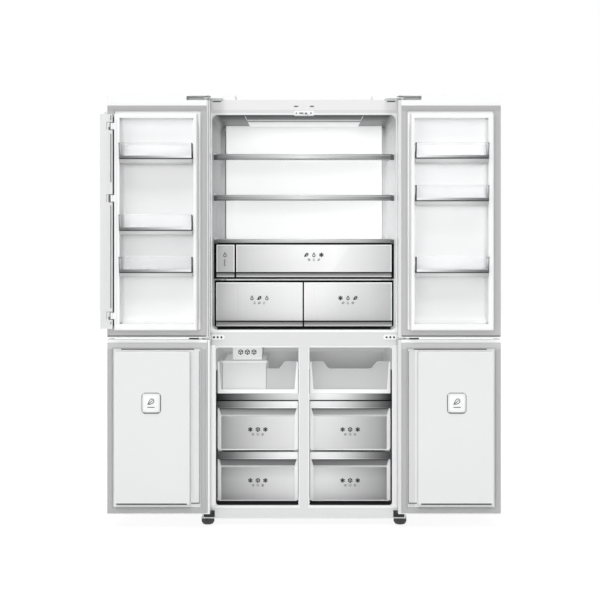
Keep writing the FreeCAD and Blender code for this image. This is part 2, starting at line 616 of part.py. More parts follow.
def glass_plate(across, front, back, top):
    body = new_body()
    add_block(body, across, (front, back), (f"{top} - glass_thick", top))
    soften(body, "glass_thick / 4",
           lambda edge: straight_along(edge, 0) or straight_along(edge, 1), "Chamfer")
    return body


def shelf_trim(across, front, middle, high, glass_top):
    """Extruded front trim with a groove that holds the glass edge."""
    body = new_body()
    low, top = f"{middle} - {high} / 2", f"{middle} + {high} / 2"
    mouth_low, mouth_top = f"{glass_top} - glass_thick - fit_gap", f"{glass_top} + fit_gap"
    back = f"{front} + trim_deep"
    groove = f"{back} - groove_deep"
    corners = [(front, low), (back, low), (back, mouth_low), (groove, mouth_low), (groove, mouth_top),
               (back, mouth_top), (back, top), (front, top)]
    profile(body, "YZ_Plane", corners, *across)
    soften(body, "trim_round", lambda edge: level_at(edge, front))
    return body


def build_shelves():
    """Glass shelves, crisper cover, freezer shelves and all their front trims."""
    wide = both("fridge_half - glass_side")
    glass_front = "shelf_front + trim_deep - groove_deep + fit_gap"
    trims, glasses = [], {}
    for label, middle, high in (("upper_shelf", "upper_shelf_z", "trim_high"),
                                ("lower_shelf", "lower_shelf_z", "trim_high"),
                                ("crisper_cover", "crisper_z", "crisper_trim")):
        glass_top = f"{middle} + {high} / 2 - glass_inset"
        glasses[label] = glass_plate(wide, glass_front, "shelf_back", glass_top)
        trims.append(shelf_trim(wide, "shelf_front", middle, high, glass_top))
    publish(group([glasses["upper_shelf"], glasses["lower_shelf"]]), "glass_shelves")
    publish(glasses["crisper_cover"], "crisper_cover")

    inner, outer = "mullion_half + run_gap", "freezer_half - run_gap"
    plate = glass_plate((inner, outer), "freezer_front + trim_deep + fit_gap", "freezer_back", "tray_bottom")
    publish(group([plate, mirrored(plate)]), "freezer_shelves")
    trim = new_body()
    trim_front, trim_back = "freezer_front", "freezer_front + trim_deep"
    add_block(trim, (inner, outer), (trim_front, trim_back),
              ("tray_bottom - freezer_trim_high", "tray_bottom"))
    soften(trim, "trim_round", lambda edge: level_at(edge, trim_front))
    publish(group(trims + [trim, mirrored(trim)]), "shelf_trims")


def fridge_drawer(label, first, second, bottom, top, corner=None):
    """Open tub behind a face scooped below for the fingers, with one lower corner cut to the liner."""
    body = new_body()
    face_back = "drawer_front + face_thick"
    scoop = "drawer_front + grip_deep"
    corners = [("drawer_front", top), (face_back, top), (face_back, bottom),
               ("drawer_front + grip_deep / 3", bottom), (scoop, f"{bottom} + grip_high / 2"),
               (scoop, f"{bottom} + grip_high - grip_deep / 3"), ("drawer_front", f"{bottom} + grip_high")]
    profile(body, "YZ_Plane", corners, first, second)
    add_block(body, (f"{first} + tub_inset", f"{second} - tub_inset"), (face_back, "drawer_back"),
              (bottom, f"{top} - rim_drop"))
    wall = "tub_inset + drawer_wall"
    cut_block(body, (f"{first} + {wall}", f"{second} - {wall}"), (face_back, "drawer_back - drawer_wall"),
              (f"{bottom} + drawer_wall", f"{top} - rim_drop"))
    soften(body, "tub_inset", lambda edge: upright_at(edge, "drawer_back"))
    if corner:
        soften(body, "face_round", lambda edge: straight_along(edge, 1) and near(edge.CenterOfMass.x, corner)
               and near(edge.CenterOfMass.z, bottom), "Chamfer")
    publish(body, label)


def build_fridge_drawers():
    row_one = ("row_one_bottom", "row_one_top")
    row_two = ("row_two_bottom", "row_two_top")
    fridge_drawer("water_tank", "-drawer_half", "-tank_inner", *row_one)
    fridge_drawer("wide_drawer", "-tank_inner + face_gap", "drawer_half", *row_one)
    fridge_drawer("lower_left_drawer", "-row_two_half", "-row_two_gap / 2", *row_two, "-row_two_half")
    fridge_drawer("lower_right_drawer", "row_two_gap / 2", "row_two_half", *row_two, "row_two_half")


def freezer_drawer(label, sign, base, back):
    """Tub behind a deep face with a bar handle over a recessed grip."""
    body = new_body()
    front, face_back = "freezer_front", "freezer_front + freezer_face_thick"
    top, face_top = f"{base} + freezer_drawer_high", f"{base} + freezer_face_high"
    grip = "freezer_front + handle_deep"
    corners = [(front, base), (front, face_top), (grip, f"{face_top} + handle_round"),
               (grip, f"{top} - handle_high - handle_round"), (front, f"{top} - handle_high"), (front, top),
               (face_back, top), (face_back, base)]
    ends = sided(sign, "freezer_inner", "freezer_outer")
    ends = ends if sign == RIGHT else ends[::-1]
    profile(body, "YZ_Plane", corners, *ends)
    soften(body, "face_round",
           lambda edge: straight_along(edge, 1) and near(edge.CenterOfMass.z, base), "Chamfer")
    soften(body, "handle_round / 2", lambda edge: level_at(edge, front))
    panel = (f"{ends[0]} + face_post", f"{ends[1]} - face_post")
    cut_block(body, panel, (front, f"{front} + face_inset"), (f"{base} + face_margin", face_top))
    bar = f"{top} - handle_high"
    for end, inward in ((ends[0], "+"), (ends[1], "-")):
        cheek = [(end, face_top), (f"{end} {inward} face_post", face_top),
                 (f"{end} {inward} cheek", bar), (end, bar)]
        profile(body, "XZ_Plane", cheek, f"{front} + face_inset", face_back)
    rim = f"{top} - freezer_rim_drop"
    tub = (f"{ends[0]} + tub_inset", f"{ends[1]} - tub_inset")
    add_block(body, tub, (face_back, back), (base, rim))
    wall = "tub_inset + drawer_wall"
    cut_block(body, (f"{ends[0]} + {wall}", f"{ends[1]} - {wall}"), (face_back, f"{back} - drawer_wall"),
              (f"{base} + drawer_wall", rim))
    soften(body, "tub_inset", lambda edge: upright_at(edge, back))
    publish(body, label)


def freezer_tray(label, sign):
    """Shallow tub with a low front frame and a set-back wall cut for the hand."""
    body = new_body()
    ends = sided(sign, "freezer_inner", "freezer_outer")
    ends = ends if sign == RIGHT else ends[::-1]
    add_block(body, ends, ("freezer_front", "freezer_back"), ("tray_floor", "tray_top"))
    soften(body, "tub_inset", lambda edge: upright_at(edge, "freezer_back"))
    wall_front = "freezer_front + tray_recess"
    lip = "tray_floor + tray_lip"
    window = [(f"{ends[0]} + tray_post + tray_flare", lip), (f"{ends[1]} - tray_post - tray_flare", lip),
              (f"{ends[1]} - tray_post", "tray_top"), (f"{ends[0]} + tray_post", "tray_top")]
    profile(body, "XZ_Plane", window, "freezer_front", wall_front, "Pocket")
    cut_block(body, (f"{ends[0]} + drawer_wall", f"{ends[1]} - drawer_wall"),
              (f"{wall_front} + drawer_wall", "freezer_back - drawer_wall"),
              ("tray_floor + drawer_wall", "tray_top"))
    wall = (wall_front, f"{wall_front} + drawer_wall")
    if sign == LEFT:
        cut_block(body, sided(sign, "ice_box_outer + run_gap", "ice_box_inner - run_gap"), wall,
                  ("tray_floor + tray_lip", "tray_top"))
    middle = f"{sign} * (freezer_inner + freezer_outer) / 2"
    notch = [(f"{middle} - notch_wide / 2 - notch_slope", "tray_top"),
             (f"{middle} - notch_wide / 2", "tray_top - notch_deep"),
             (f"{middle} + notch_wide / 2", "tray_top - notch_deep"),
             (f"{middle} + notch_wide / 2 + notch_slope", "tray_top")]
    profile(body, "XZ_Plane", notch, *wall, "Pocket")
    publish(body, label)


def build_freezer_fittings():
    """Freezer trays and drawers, ice box, ice maker and the rear air covers."""
    for side, sign in SIDES:
        freezer_tray(f"freezer_tray_{side}", sign)
        freezer_drawer(f"freezer_drawer_middle_{side}", sign, "mid_drawer_z", "freezer_back")
        freezer_drawer(f"freezer_drawer_bottom_{side}", sign, "low_drawer_z", "low_drawer_back")

    box = new_body()
    floor = "tray_floor + drawer_wall + run_gap"
    box_front = "freezer_front + tray_recess + drawer_wall + run_gap"
    add_block(box, ("-ice_box_outer", "-ice_box_inner"), (box_front, "ice_box_back"), (floor, "tray_top"))
    soften(box, "tub_inset", lambda edge: straight_along(edge, 2))
    cut_block(box, ("-ice_box_outer + drawer_wall", "-ice_box_inner - drawer_wall"),
              (f"{box_front} + drawer_wall", "ice_box_back - drawer_wall"),
              (f"{floor} + drawer_wall", "tray_top"))
    publish(box, "ice_box")

    maker = new_body()
    ceiling = "freezer_top - fit_gap"
    side_view = [("ice_maker_front", "ice_maker_bottom"),
                 ("ice_maker_back", "ice_maker_bottom + ice_maker_rise"),
                 ("ice_maker_back", ceiling), ("ice_maker_front", ceiling)]
    profile(maker, "YZ_Plane", side_view, "-ice_maker_outer", "-ice_maker_inner")
    soften(maker, "trim_round", lambda edge: near(edge.CenterOfMass.y, "ice_maker_front")
           and not near(edge.CenterOfMass.z, ceiling))
    publish(maker, "ice_maker")

    cover = new_body()
    inner, outer = "mullion_half + run_gap", "freezer_half - run_gap"
    top = "freezer_top - run_gap"
    add_block(cover, (inner, outer), ("cover_y", "cover_y + cover_thick"), ("cover_bottom", top))
    soften(cover, "freezer_round", lambda edge: straight_along(edge, 1)
           and near(edge.CenterOfMass.x, outer) and near(edge.CenterOfMass.z, top))
    vent = cut_block(cover, (f"{inner} + vent_inset", f"{inner} + vent_inset + vent_wide"),
                     ("cover_y", "cover_y + cover_thick"),
                     (f"{top} - vent_drop - vent_high", f"{top} - vent_drop"))
    repeat(cover, [vent], "X_Axis", "vent_pitch", "vent_count")
    publish(group([cover, mirrored(cover)]), "freezer_duct_covers")


def ring(body, outer_x, outer_z, inner_x, inner_z, start, end):
    """Rectangular frame padded along y."""
    add_block(body, outer_x, (start, end), outer_z)
    cut_block(body, inner_x, (start, end), inner_z)


def door_gasket(label, sign, bottom, top):
    """Magnetic seal: a flat foot with a raised sealing lobe on it."""
    free = "door_half_gap + seal_free_inset"
    hinge = "half_width - seal_hinge_inset"
    body = new_body()
    for start, end, inset in (("door_back", "door_back + seal_base", "0"),
                              ("door_back + seal_base", "-seal_lift", "seal_lobe")):
        ring(body, sided(sign, f"{free} + {inset}", f"{hinge} - {inset}"),
             (f"{bottom} + {inset}", f"{top} - {inset}"),
             sided(sign, f"{free} + seal_free_wide - {inset}", f"{hinge} - seal_wide + {inset}"),
             (f"{bottom} + seal_wide - {inset}", f"{top} - seal_wide + {inset}"), start, end)
    publish(body, label, sign)


def door_panel(sign, bottom, top, pull_low):
    """Folded sheet door with rounded front edges, deep end caps and a finger pull along one end."""
    body = new_body()
    across = sided(sign, "door_half_gap", "half_width")
    add_block(body, across, ("door_front", "door_back"), (bottom, top))
    soften(body, "door_round", lambda edge: upright_at(edge, "door_front"))
    corner = "door_half_gap + door_skin", "half_width - door_skin"
    cut_block(body, sided(sign, *corner), ("door_front + door_round", "door_back - door_skin"),
              (f"{bottom} + end_cap", f"{top} - end_cap"))
    flat = "door_half_gap + door_round", "half_width - door_round"
    cut_block(body, sided(sign, *flat), ("door_front + door_skin", "door_front + door_round"),
              (f"{bottom} + end_cap", f"{top} - end_cap"))
    edge_z, way = (bottom, "+") if pull_low else (top, "-")
    pull = [("door_front", edge_z), ("door_front", f"{edge_z} {way} pull_lip"),
            ("door_front + pull_deep", f"{edge_z} {way} pull_high"), ("door_front + pull_wide", edge_z)]
    ends = sided(sign, "door_half_gap + pull_inset", "hinge_x - pull_hinge")
    ends = ends if sign == RIGHT else ends[::-1]
    profile(body, "YZ_Plane", pull, *ends, "Pocket")
    return body


def hinge_hole(body, sign, start, end):
    axis = (f"{sign} * hinge_x", "hinge_y")
    add_round(body, "XY_Plane", axis, "pin_radius + pin_gap", start, end, "Pocket")


def build_upper_door(side, sign):
    """Upper door: panel with hinge pocket, liner with raised rim, gasket, bins and bin trims."""
    panel = door_panel(sign, "upper_door_bottom", "upper_door_top", True)
    seat_x = sided(sign, "dike_free - fit_gap", "dike_hinge + fit_gap")
    cut_block(panel, seat_x, ("recess_back - floor_skin - fit_gap", "door_back"),
              ("dike_bottom - fit_gap", "dike_top + fit_gap"))
    cut_block(panel, sided(sign, "slot_end", "half_width"), ("hinge_y - knuckle - slot_clear", "door_back"),
              ("case_top - slot_low", "case_top + slot_high"))
    hinge_hole(panel, sign, "upper_door_bottom", "upper_door_bottom + pin_deep + run_gap")
    hinge_hole(panel, sign, "case_top - slot_low - pin_deep - run_gap", "case_top - slot_low")
    publish(panel, f"upper_{side}_door_panel", sign)

    liner = new_body()
    dike_x = sided(sign, "dike_free", "dike_hinge")
    add_block(liner, dike_x, ("recess_back - floor_skin", "dike_crest"), ("dike_bottom", "dike_top"))
    soften(liner, "dike_round", lambda edge: near(edge.CenterOfMass.y, "dike_crest"))
    cut_block(liner, sided(sign, "recess_free", "recess_hinge"), ("recess_back", "dike_crest"),
              ("recess_bottom", "recess_top"))
    add_block(liner, sided(sign, "dike_hinge", "half_width - seal_hinge_inset - seal_wide - fit_gap"),
              ("door_back", "door_back + flange_thick"), ("dike_bottom", "dike_top"))
    publish(liner, f"upper_{side}_door_liner", sign)

    door_gasket(f"upper_{side}_door_gasket", sign, "upper_seal_bottom", "upper_seal_top")

    bins, trims = [], []
    for place in ("one", "two", "three"):
        made = door_bin(sign, f"{side}_bin_{place}")
        bins.append(made[0])
        trims.append(made[1])
    publish(group(bins), f"upper_{side}_door_bins", sign)
    publish(group(trims), f"upper_{side}_bin_trims", sign)


def door_bin(sign, floor):
    """Clear bin with a leaning front, and the metal trim across it."""
    first, second = sided(sign, "recess_free + bin_side", "recess_hinge - bin_side")
    if sign == LEFT:
        first, second = second, first
    back = "recess_back + bin_back"
    top = f"{floor} + bin_high"
    side_view = [(back, floor), ("bin_reach", floor), ("bin_reach + bin_lean", top), (back, top)]
    body = new_body()
    profile(body, "YZ_Plane", side_view, first, second)
    inside = [(f"{back} + bin_wall", f"{floor} + bin_wall"), ("bin_reach - bin_wall", f"{floor} + bin_wall"),
              ("bin_reach + bin_lean - bin_wall", top), (f"{back} + bin_wall", top)]
    profile(body, "YZ_Plane", inside, f"{first} + bin_wall", f"{second} - bin_wall", "Pocket")
    lean = "bin_lean / bin_high"
    low, high = f"bin_reach + bin_base * {lean}", f"bin_reach + (bin_base + bin_trim_high) * {lean}"
    strip = [(f"{low} + fit_gap", f"{floor} + bin_base"), (f"{low} + bin_trim_deep", f"{floor} + bin_base"),
             (f"{high} + bin_trim_deep", f"{floor} + bin_base + bin_trim_high"),
             (f"{high} + fit_gap", f"{floor} + bin_base + bin_trim_high")]
    trim = new_body()
    profile(trim, "YZ_Plane", strip, first, second)
    return body, trim


def build_lower_door(side, sign):
    """Lower door: panel, liner with raised plateau and hinge-side step, gasket and filter cap."""
    panel = door_panel(sign, "lower_door_bottom", "lower_door_top", False)
    hinge_hole(panel, sign, "lower_door_bottom", "lower_door_bottom + pin_deep + run_gap")
    hinge_hole(panel, sign, "lower_door_top - pin_deep - run_gap", "lower_door_top")
    cut_block(panel, sided(sign, "plateau_free + foam_mouth", "plateau_hinge - foam_mouth"),
              ("door_back - door_skin", "door_back"),
              ("plateau_bottom + foam_mouth", "plateau_top - foam_mouth"))
    publish(panel, f"lower_{side}_door_panel", sign)

    liner = new_body()
    plateau_z = ("plateau_bottom", "plateau_top")
    add_block(liner, sided(sign, "plateau_free + seal_free_inset + seal_lobe", "plateau_hinge"),
              ("door_back", "plateau_crest"), plateau_z)
    soften(liner, "plateau_round", lambda edge: straight_along(edge, 1))
    soften(liner, "plateau_round / 2", lambda edge: near(edge.CenterOfMass.y, "plateau_crest"))
    base_x = sided(sign, "door_half_gap + seal_free_inset + seal_free_wide + fit_gap",
                   "half_width - seal_hinge_inset - seal_wide - fit_gap")
    base_z = ("lower_seal_bottom + seal_wide + fit_gap", "lower_seal_top - seal_wide - fit_gap")
    add_block(liner, base_x, ("door_back", "door_back + flange_thick"), base_z)
    add_block(liner, sided(sign, "plateau_hinge - plateau_round", "step_strip_hinge"),
              ("door_back", "door_back + step_strip_lift"), plateau_z)
    publish(liner, f"lower_{side}_door_liner", sign)

    door_gasket(f"lower_{side}_door_gasket", sign, "lower_seal_bottom", "lower_seal_top")

    cap = new_body()
    add_block(cap, sided(sign, "filter_x - filter_wide / 2", "filter_x + filter_wide / 2"),
              ("plateau_crest", "plateau_crest + filter_thick"),
              ("filter_z - filter_high / 2", "filter_z + filter_high / 2"))
    soften(cap, "filter_round", lambda edge: straight_along(edge, 1))
    soften(cap, "filter_edge", lambda edge: near(edge.CenterOfMass.y, "plateau_crest + filter_thick"))
    publish(cap, f"lower_{side}_filter_cap", sign)


def build_flip_mullion():
    """Folding centre beam on the left upper door: three pins in brackets, and a nub for the guide's groove."""
    beam = new_body()
    axis = ("-beam_left + bracket_eye", "beam_thick - bracket_eye")
    add_block(beam, ("-beam_left", "beam_right"), ("0", "beam_thick"), ("beam_bottom", "beam_top"))
    soften(beam, "beam_round", lambda edge: straight_along(edge, 2))
    add_round(beam, "XY_Plane", ("0", "beam_thick / 2"), "nub_radius",
              "beam_top - nub_reach", "beam_top + beam_drop + nub_reach")
    brackets = []
    for place in ("bracket_one", "bracket_two", "bracket_three"):
        low, high = f"{place} - bracket_high / 2", f"{place} + bracket_high / 2"
        room_z = (f"{low} - run_gap", f"{high} + run_gap")
        cut_block(beam, ("-beam_left", "-beam_left + 2 * bracket_eye + run_gap"),
                  ("beam_thick - 2 * bracket_eye - run_gap", "beam_thick"), room_z)
        add_round(beam, "XY_Plane", axis, "beam_pin", *room_z)
        bracket = new_body()
        add_round(bracket, "XY_Plane", axis, "bracket_eye", low, high)
        add_block(bracket, ("-dike_free + fit_gap", axis[0]),
                  (f"{axis[1]} - bracket_thick / 2", f"{axis[1]} + bracket_thick / 2"), (low, high))
        add_round(bracket, "XY_Plane", axis, "beam_pin + pin_gap", low, high, "Pocket")
        brackets.append(bracket)
    publish(beam, "flip_mullion", LEFT)
    publish(group(brackets), "mullion_brackets", LEFT)


def build_hinges():
    """Top gooseneck hinges under covers, middle and bottom hinge brackets, and their screws."""
    pin = ("hinge_x", "hinge_y")
    top = new_body()
    plate_z = ("case_top", "case_top + plate_thick")
    arm = [("arm_inner", "plate_back"), ("arm_inner", "hinge_y - knuckle"), ("hinge_x", "hinge_y - knuckle"),
           ("hinge_x", "hinge_y + knuckle"), ("arm_outer", "hinge_y + knuckle"), ("arm_outer", "plate_back")]
    profile(top, "XY_Plane", arm, *plate_z)
    add_round(top, "XY_Plane", pin, "knuckle", *plate_z)
    add_round(top, "XY_Plane", pin, "pin_radius", "case_top - slot_low - pin_deep", "case_top")
    publish(group([top, mirrored(top)]), "top_hinges")

    cover = new_body()
    cover_z = ("case_top", "case_top + cover_high")
    add_block(cover, ("cover_inner", "half_width"), ("cover_front", "cover_back"), cover_z)
    soften(cover, "cover_round", lambda edge: straight_along(edge, 2))
    soften(cover, "cover_wall", lambda edge: near(edge.CenterOfMass.z, cover_z[1]))
    cut_block(cover, ("arm_inner - fit_gap", "arm_outer + fit_gap"), ("cover_front", "plate_back + fit_gap"),
              (cover_z[0], "case_top + plate_thick + fit_gap"))
    publish(group([cover, mirrored(cover)]), "hinge_covers")

    tongue = [("arm_outer", "0"), ("arm_outer", "hinge_y - knuckle"), ("hinge_x", "hinge_y - knuckle"),
              ("hinge_x + knuckle", "hinge_y"), ("hinge_x + knuckle", "0")]
    middle = new_body()
    gap_middle = "(upper_door_bottom + lower_door_top) / 2"
    tongue_z = (f"{gap_middle} - plate_thick / 2", f"{gap_middle} + plate_thick / 2")
    profile(middle, "XY_Plane", tongue, *tongue_z)
    add_block(middle, ("middle_inner", "hinge_x + knuckle"), ("-flange_deep", "0"),
              (f"{gap_middle} - middle_high / 2", f"{gap_middle} + middle_high / 2"))
    soften(middle, "middle_round", lambda edge: straight_along(edge, 1)
           and near(edge.CenterOfMass.x, "middle_inner"))
    add_round(middle, "XY_Plane", pin, "pin_radius",
              "lower_door_top - pin_deep", "upper_door_bottom + pin_deep")
    publish(group([middle, mirrored(middle)]), "middle_hinges")

    bottom = new_body()
    low_z = ("lower_door_bottom - plate_thick - base_thick", "lower_door_bottom - base_thick")
    profile(bottom, "XY_Plane", tongue, *low_z)
    add_block(bottom, ("bottom_inner", "hinge_x + knuckle"), ("-flange_deep", "0"),
              (f"{low_z[1]} - bottom_high", low_z[1]))
    add_round(bottom, "XY_Plane", pin, "pin_radius", low_z[0], "lower_door_bottom + pin_deep")
    publish(group([bottom, mirrored(bottom)]), "bottom_hinges")

    screws = []
    for index in range(3):
        screw = new_body()
        spot = (f"middle_inner + screw_inset + {index} * screw_pitch", gap_middle)
        add_round(screw, "XZ_Plane", spot, "screw_head", "-flange_deep - screw_high", "-flange_deep")
        screws += [screw, mirrored(screw)]
    publish(group(screws), "hinge_screws")


def build_feet():
    """Levelling feet in front and rollers behind."""
    for side, sign in SIDES:
        foot = new_body()
        spot = (f"{sign} * foot_x", "foot_back")
        add_round(foot, "XY_Plane", spot, "foot_radius", "0", "foot_high")
        soften(foot, "trim_round", lambda edge: near(edge.CenterOfMass.z, "foot_high")
               and edge.Curve.TypeId == "Part::GeomCircle", "Chamfer")
        add_round(foot, "XY_Plane", spot, "stem_radius", "foot_high", "foam_bottom")
        publish(foot, f"front_foot_{side}")

        roller = new_body()
        middle = f"{sign} * roller_x"
        hub = ("axle_y", "roller_radius")
        add_round(roller, "YZ_Plane", hub, "roller_radius",
                  f"{middle} - roller_wide / 2", f"{middle} + roller_wide / 2")
        soften(roller, "trim_round / 2", lambda edge: edge.Curve.TypeId == "Part::GeomCircle", "Chamfer")
        add_round(roller, "YZ_Plane", hub, "axle_radius",
                  f"{middle} - axle_long / 2", f"{middle} + axle_long / 2")
        publish(roller, f"rear_roller_{side}")


def check_and_export():
    """Stops on any failed feature, idle cut or unsound solid, then writes one file per sub-part."""
    doc.recompute()
    for item in doc.Objects:
        if "Invalid" in item.State or "Error" in item.State:
            raise RuntimeError(f"{item.Name} failed: {item.State}")
        if item.TypeId == "PartDesign::Pocket" and item.BaseFeature.Shape.Volume - item.Shape.Volume < 0.1:
            raise RuntimeError(f"{item.Name} in {item.getParentGeoFeatureGroup().Label} cuts nothing")
    os.makedirs("parts", exist_ok=True)
    for item in SUB_PARTS:
        if item.Shape.isNull() or not item.Shape.isValid():
            raise RuntimeError(f"{item.Label} is not a sound solid")
        item.Shape.exportStep(f"parts/{item.Label}.step")
        box = item.Shape.BoundBox
        print(f"{item.Label}: {len(item.Shape.Solids)} solid(s), {math.ceil(item.Shape.Volume / 1000)} cm3,"
              f" x {box.XMin:.1f} {box.XMax:.1f}, y {box.YMin:.1f} {box.YMax:.1f},"
              f" z {box.ZMin:.1f} {box.ZMax:.1f}")


build_case()
build_foam()
build_fridge_liner()
build_freezer_liner()
build_rear_panel()
build_base_plate()
build_machine_room()
build_fridge_fittings()
build_shelves()
build_fridge_drawers()
build_freezer_fittings()
for door_side, door_sign in SIDES:
    build_upper_door(door_side, door_sign)
    build_lower_door(door_side, door_sign)
build_flip_mullion()
build_hinges()
build_feet()
check_and_export()
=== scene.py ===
"""Looks of the open four-door fridge freezer: finishes for the CAD pieces and the moulded details on them.

Every length is in metres, in the frame of the CAD model: x to the right, y to the back, z up.
"""

import math

import bmesh
import bpy
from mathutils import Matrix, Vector


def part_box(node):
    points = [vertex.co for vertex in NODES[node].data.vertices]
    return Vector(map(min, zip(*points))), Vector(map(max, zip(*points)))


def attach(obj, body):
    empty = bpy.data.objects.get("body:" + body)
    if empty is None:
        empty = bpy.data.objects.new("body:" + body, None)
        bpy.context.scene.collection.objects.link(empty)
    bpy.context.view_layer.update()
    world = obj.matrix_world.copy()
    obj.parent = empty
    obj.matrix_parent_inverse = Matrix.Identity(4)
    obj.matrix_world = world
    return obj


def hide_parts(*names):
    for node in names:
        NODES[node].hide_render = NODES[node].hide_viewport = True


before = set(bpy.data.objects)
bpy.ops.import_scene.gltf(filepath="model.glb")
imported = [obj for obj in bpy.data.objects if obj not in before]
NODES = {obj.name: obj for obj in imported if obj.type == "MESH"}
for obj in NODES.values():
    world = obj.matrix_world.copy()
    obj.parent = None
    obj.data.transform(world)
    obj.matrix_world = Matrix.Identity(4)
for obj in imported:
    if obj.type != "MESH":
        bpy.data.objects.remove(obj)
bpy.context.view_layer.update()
SIDES = (("left", -1), ("right", 1))
DOORS = [(level, side, sign) for level in ("upper", "lower") for side, sign in SIDES]

# Places that several builders share

CASE_FRONT, CASE_REAR = -0.232, 0.3878
FRIDGE_WALL = 0.41
SHELF_FRONT, SHELF_END = -0.136, 0.3945
FREEZER_INNER, FREEZER_OUTER, FREEZER_ROUND = 0.024, 0.393, 0.014
FREEZER_FLOOR, FREEZER_CEILING = 0.091, 0.796


# Node groups that several finishes share


def new_group(name, inputs, outputs):
    """Empty shader group with named number inputs and outputs, and its two end nodes."""
    group = bpy.data.node_groups.new(name, "ShaderNodeTree")
    for label, value in inputs.items():
        socket = group.interface.new_socket(label, in_out="INPUT", socket_type="NodeSocketFloat")
        socket.default_value = value
    for label in outputs:
        group.interface.new_socket(label, in_out="OUTPUT", socket_type="NodeSocketFloat")
    return group, group.nodes.new("NodeGroupInput"), group.nodes.new("NodeGroupOutput")


def noise_in(tree, vector, scale, detail):
    """Noise over a vector socket; its scale is a number or a socket."""
    noise = tree.nodes.new("ShaderNodeTexNoise")
    noise.inputs["Detail"].default_value = detail
    tree.links.new(vector, noise.inputs["Vector"])
    if isinstance(scale, bpy.types.NodeSocket):
        tree.links.new(scale, noise.inputs["Scale"])
    else:
        noise.inputs["Scale"].default_value = scale
    return noise.outputs["Fac"]


def spot_with_axes(group, start, operation):
    """Place on the object combined with the group's X, Y and Z by a vector operation."""
    axes = group.nodes.new("ShaderNodeCombineXYZ")
    for axis in "XYZ":
        group.links.new(start.outputs[axis], axes.inputs[axis])
    combined = group.nodes.new("ShaderNodeVectorMath")
    combined.operation = operation
    group.links.new(group.nodes.new("ShaderNodeTexCoord").outputs["Object"], combined.inputs[0])
    group.links.new(axes.outputs[0], combined.inputs[1])
    return combined.outputs


def moulded_grain():
    """Fine surface grain and a broad drift of tone, as noise over the object's metres."""
    group, start, end = new_group("moulded_grain", {"Fine": 900, "Broad": 8}, ("Tone", "Height"))
    spot = group.nodes.new("ShaderNodeTexCoord").outputs["Object"]
    group.links.new(noise_in(group, spot, start.outputs["Broad"], 3), end.inputs["Tone"])
    group.links.new(noise_in(group, spot, start.outputs["Fine"], 2), end.inputs["Height"])
    return group


def drawn_lines():
    """Brush lines: noise squeezed by a count of lines along each axis."""
    group, start, end = new_group("drawn_lines", {"X": 400, "Y": 400, "Z": 4}, ("Tone", "Height"))
    squeezed = spot_with_axes(group, start, "MULTIPLY")["Vector"]
    group.links.new(noise_in(group, squeezed, 1, 4), end.inputs["Tone"])
    group.links.new(noise_in(group, squeezed, 2.3, 2), end.inputs["Height"])
    return group


def place_fade():
    """Rises from 0 to 1 between two distances along a direction of the object."""
    group, start, end = new_group("place_fade", {"X": 1, "Y": 0, "Z": 0, "Start": 0, "End": 1}, ("Fade",))
    ramp = group.nodes.new("ShaderNodeMapRange")
    group.links.new(spot_with_axes(group, start, "DOT_PRODUCT")["Value"], ramp.inputs["Value"])
    group.links.new(start.outputs["Start"], ramp.inputs["From Min"])
    group.links.new(start.outputs["End"], ramp.inputs["From Max"])
    group.links.new(ramp.outputs["Result"], end.inputs["Fade"])
    return group


GRAIN = moulded_grain()
LINES = drawn_lines()
FADE = place_fade()


# Finishes


def grey(value, cool=0.006):
    return (value - cool / 2, value, value + cool / 2)


def scaled(stops, share):
    return [(spot, value * share) for spot, value in stops]


def new_finish(name, **constants):
    """Material with its Principled shader; plain numbers are set on the shader's own sockets."""
    material = bpy.data.materials.new(name)
    material.use_nodes = True
    shader = material.node_tree.nodes["Principled BSDF"]
    for label, value in constants.items():
        shader.inputs[label.replace("_", " ").title().replace("Ior", "IOR")].default_value = value
    return material, material.node_tree, shader


def place(tree, group, **values):
    """Outputs of a new group node with its inputs set."""
    node = tree.nodes.new("ShaderNodeGroup")
    node.node_tree = group
    for label, value in values.items():
        node.inputs[label].default_value = value
    return node.outputs


def fade(tree, start, end, **direction):
    """Socket that rises from 0 to 1 between two distances along a direction such as X=1."""
    return place(tree, FADE, Start=start, End=end, **{"X": 0, "Y": 0, "Z": 0, **direction})["Fade"]


def between(tree, factor, first, second):
    """Colour by a factor socket between two of these: a colour socket, a neutral grey, a colour."""
    mix = tree.nodes.new("ShaderNodeMix")
    mix.data_type = "RGBA"
    tree.links.new(factor, mix.inputs[0])
    for socket, colour in ((mix.inputs[6], first), (mix.inputs[7], second)):
        if isinstance(colour, bpy.types.NodeSocket):
            tree.links.new(colour, socket)
        else:
            socket.default_value = (*(grey(colour, 0) if isinstance(colour, (int, float)) else colour), 1)
    return mix.outputs[2]


def spread(tree, value, low, high):
    """Socket that carries 0 to 1 over to another range."""
    ramp = tree.nodes.new("ShaderNodeMapRange")
    ramp.inputs["To Min"].default_value = low
    ramp.inputs["To Max"].default_value = high
    tree.links.new(value, ramp.inputs["Value"])
    return ramp.outputs["Result"]


def roughen(tree, shader, height, depth, strength):
    bump = tree.nodes.new("ShaderNodeBump")
    bump.inputs["Distance"].default_value = depth
    bump.inputs["Strength"].default_value = strength
    tree.links.new(height, bump.inputs["Height"])
    tree.links.new(bump.outputs["Normal"], shader.inputs["Normal"])


def ramp_of(tree, factor, stops):
    """Grey ramp through (place, value) stops."""
    ramp = tree.nodes.new("ShaderNodeValToRGB")
    elements = ramp.color_ramp.elements
    while len(elements) < len(stops):
        elements.new(0.5)
    for element, (spot, value) in zip(elements, stops):
        element.position = spot
        element.color = (*grey(value, 0.004), 1)
    tree.links.new(factor, ramp.inputs["Fac"])
    return ramp.outputs["Color"]


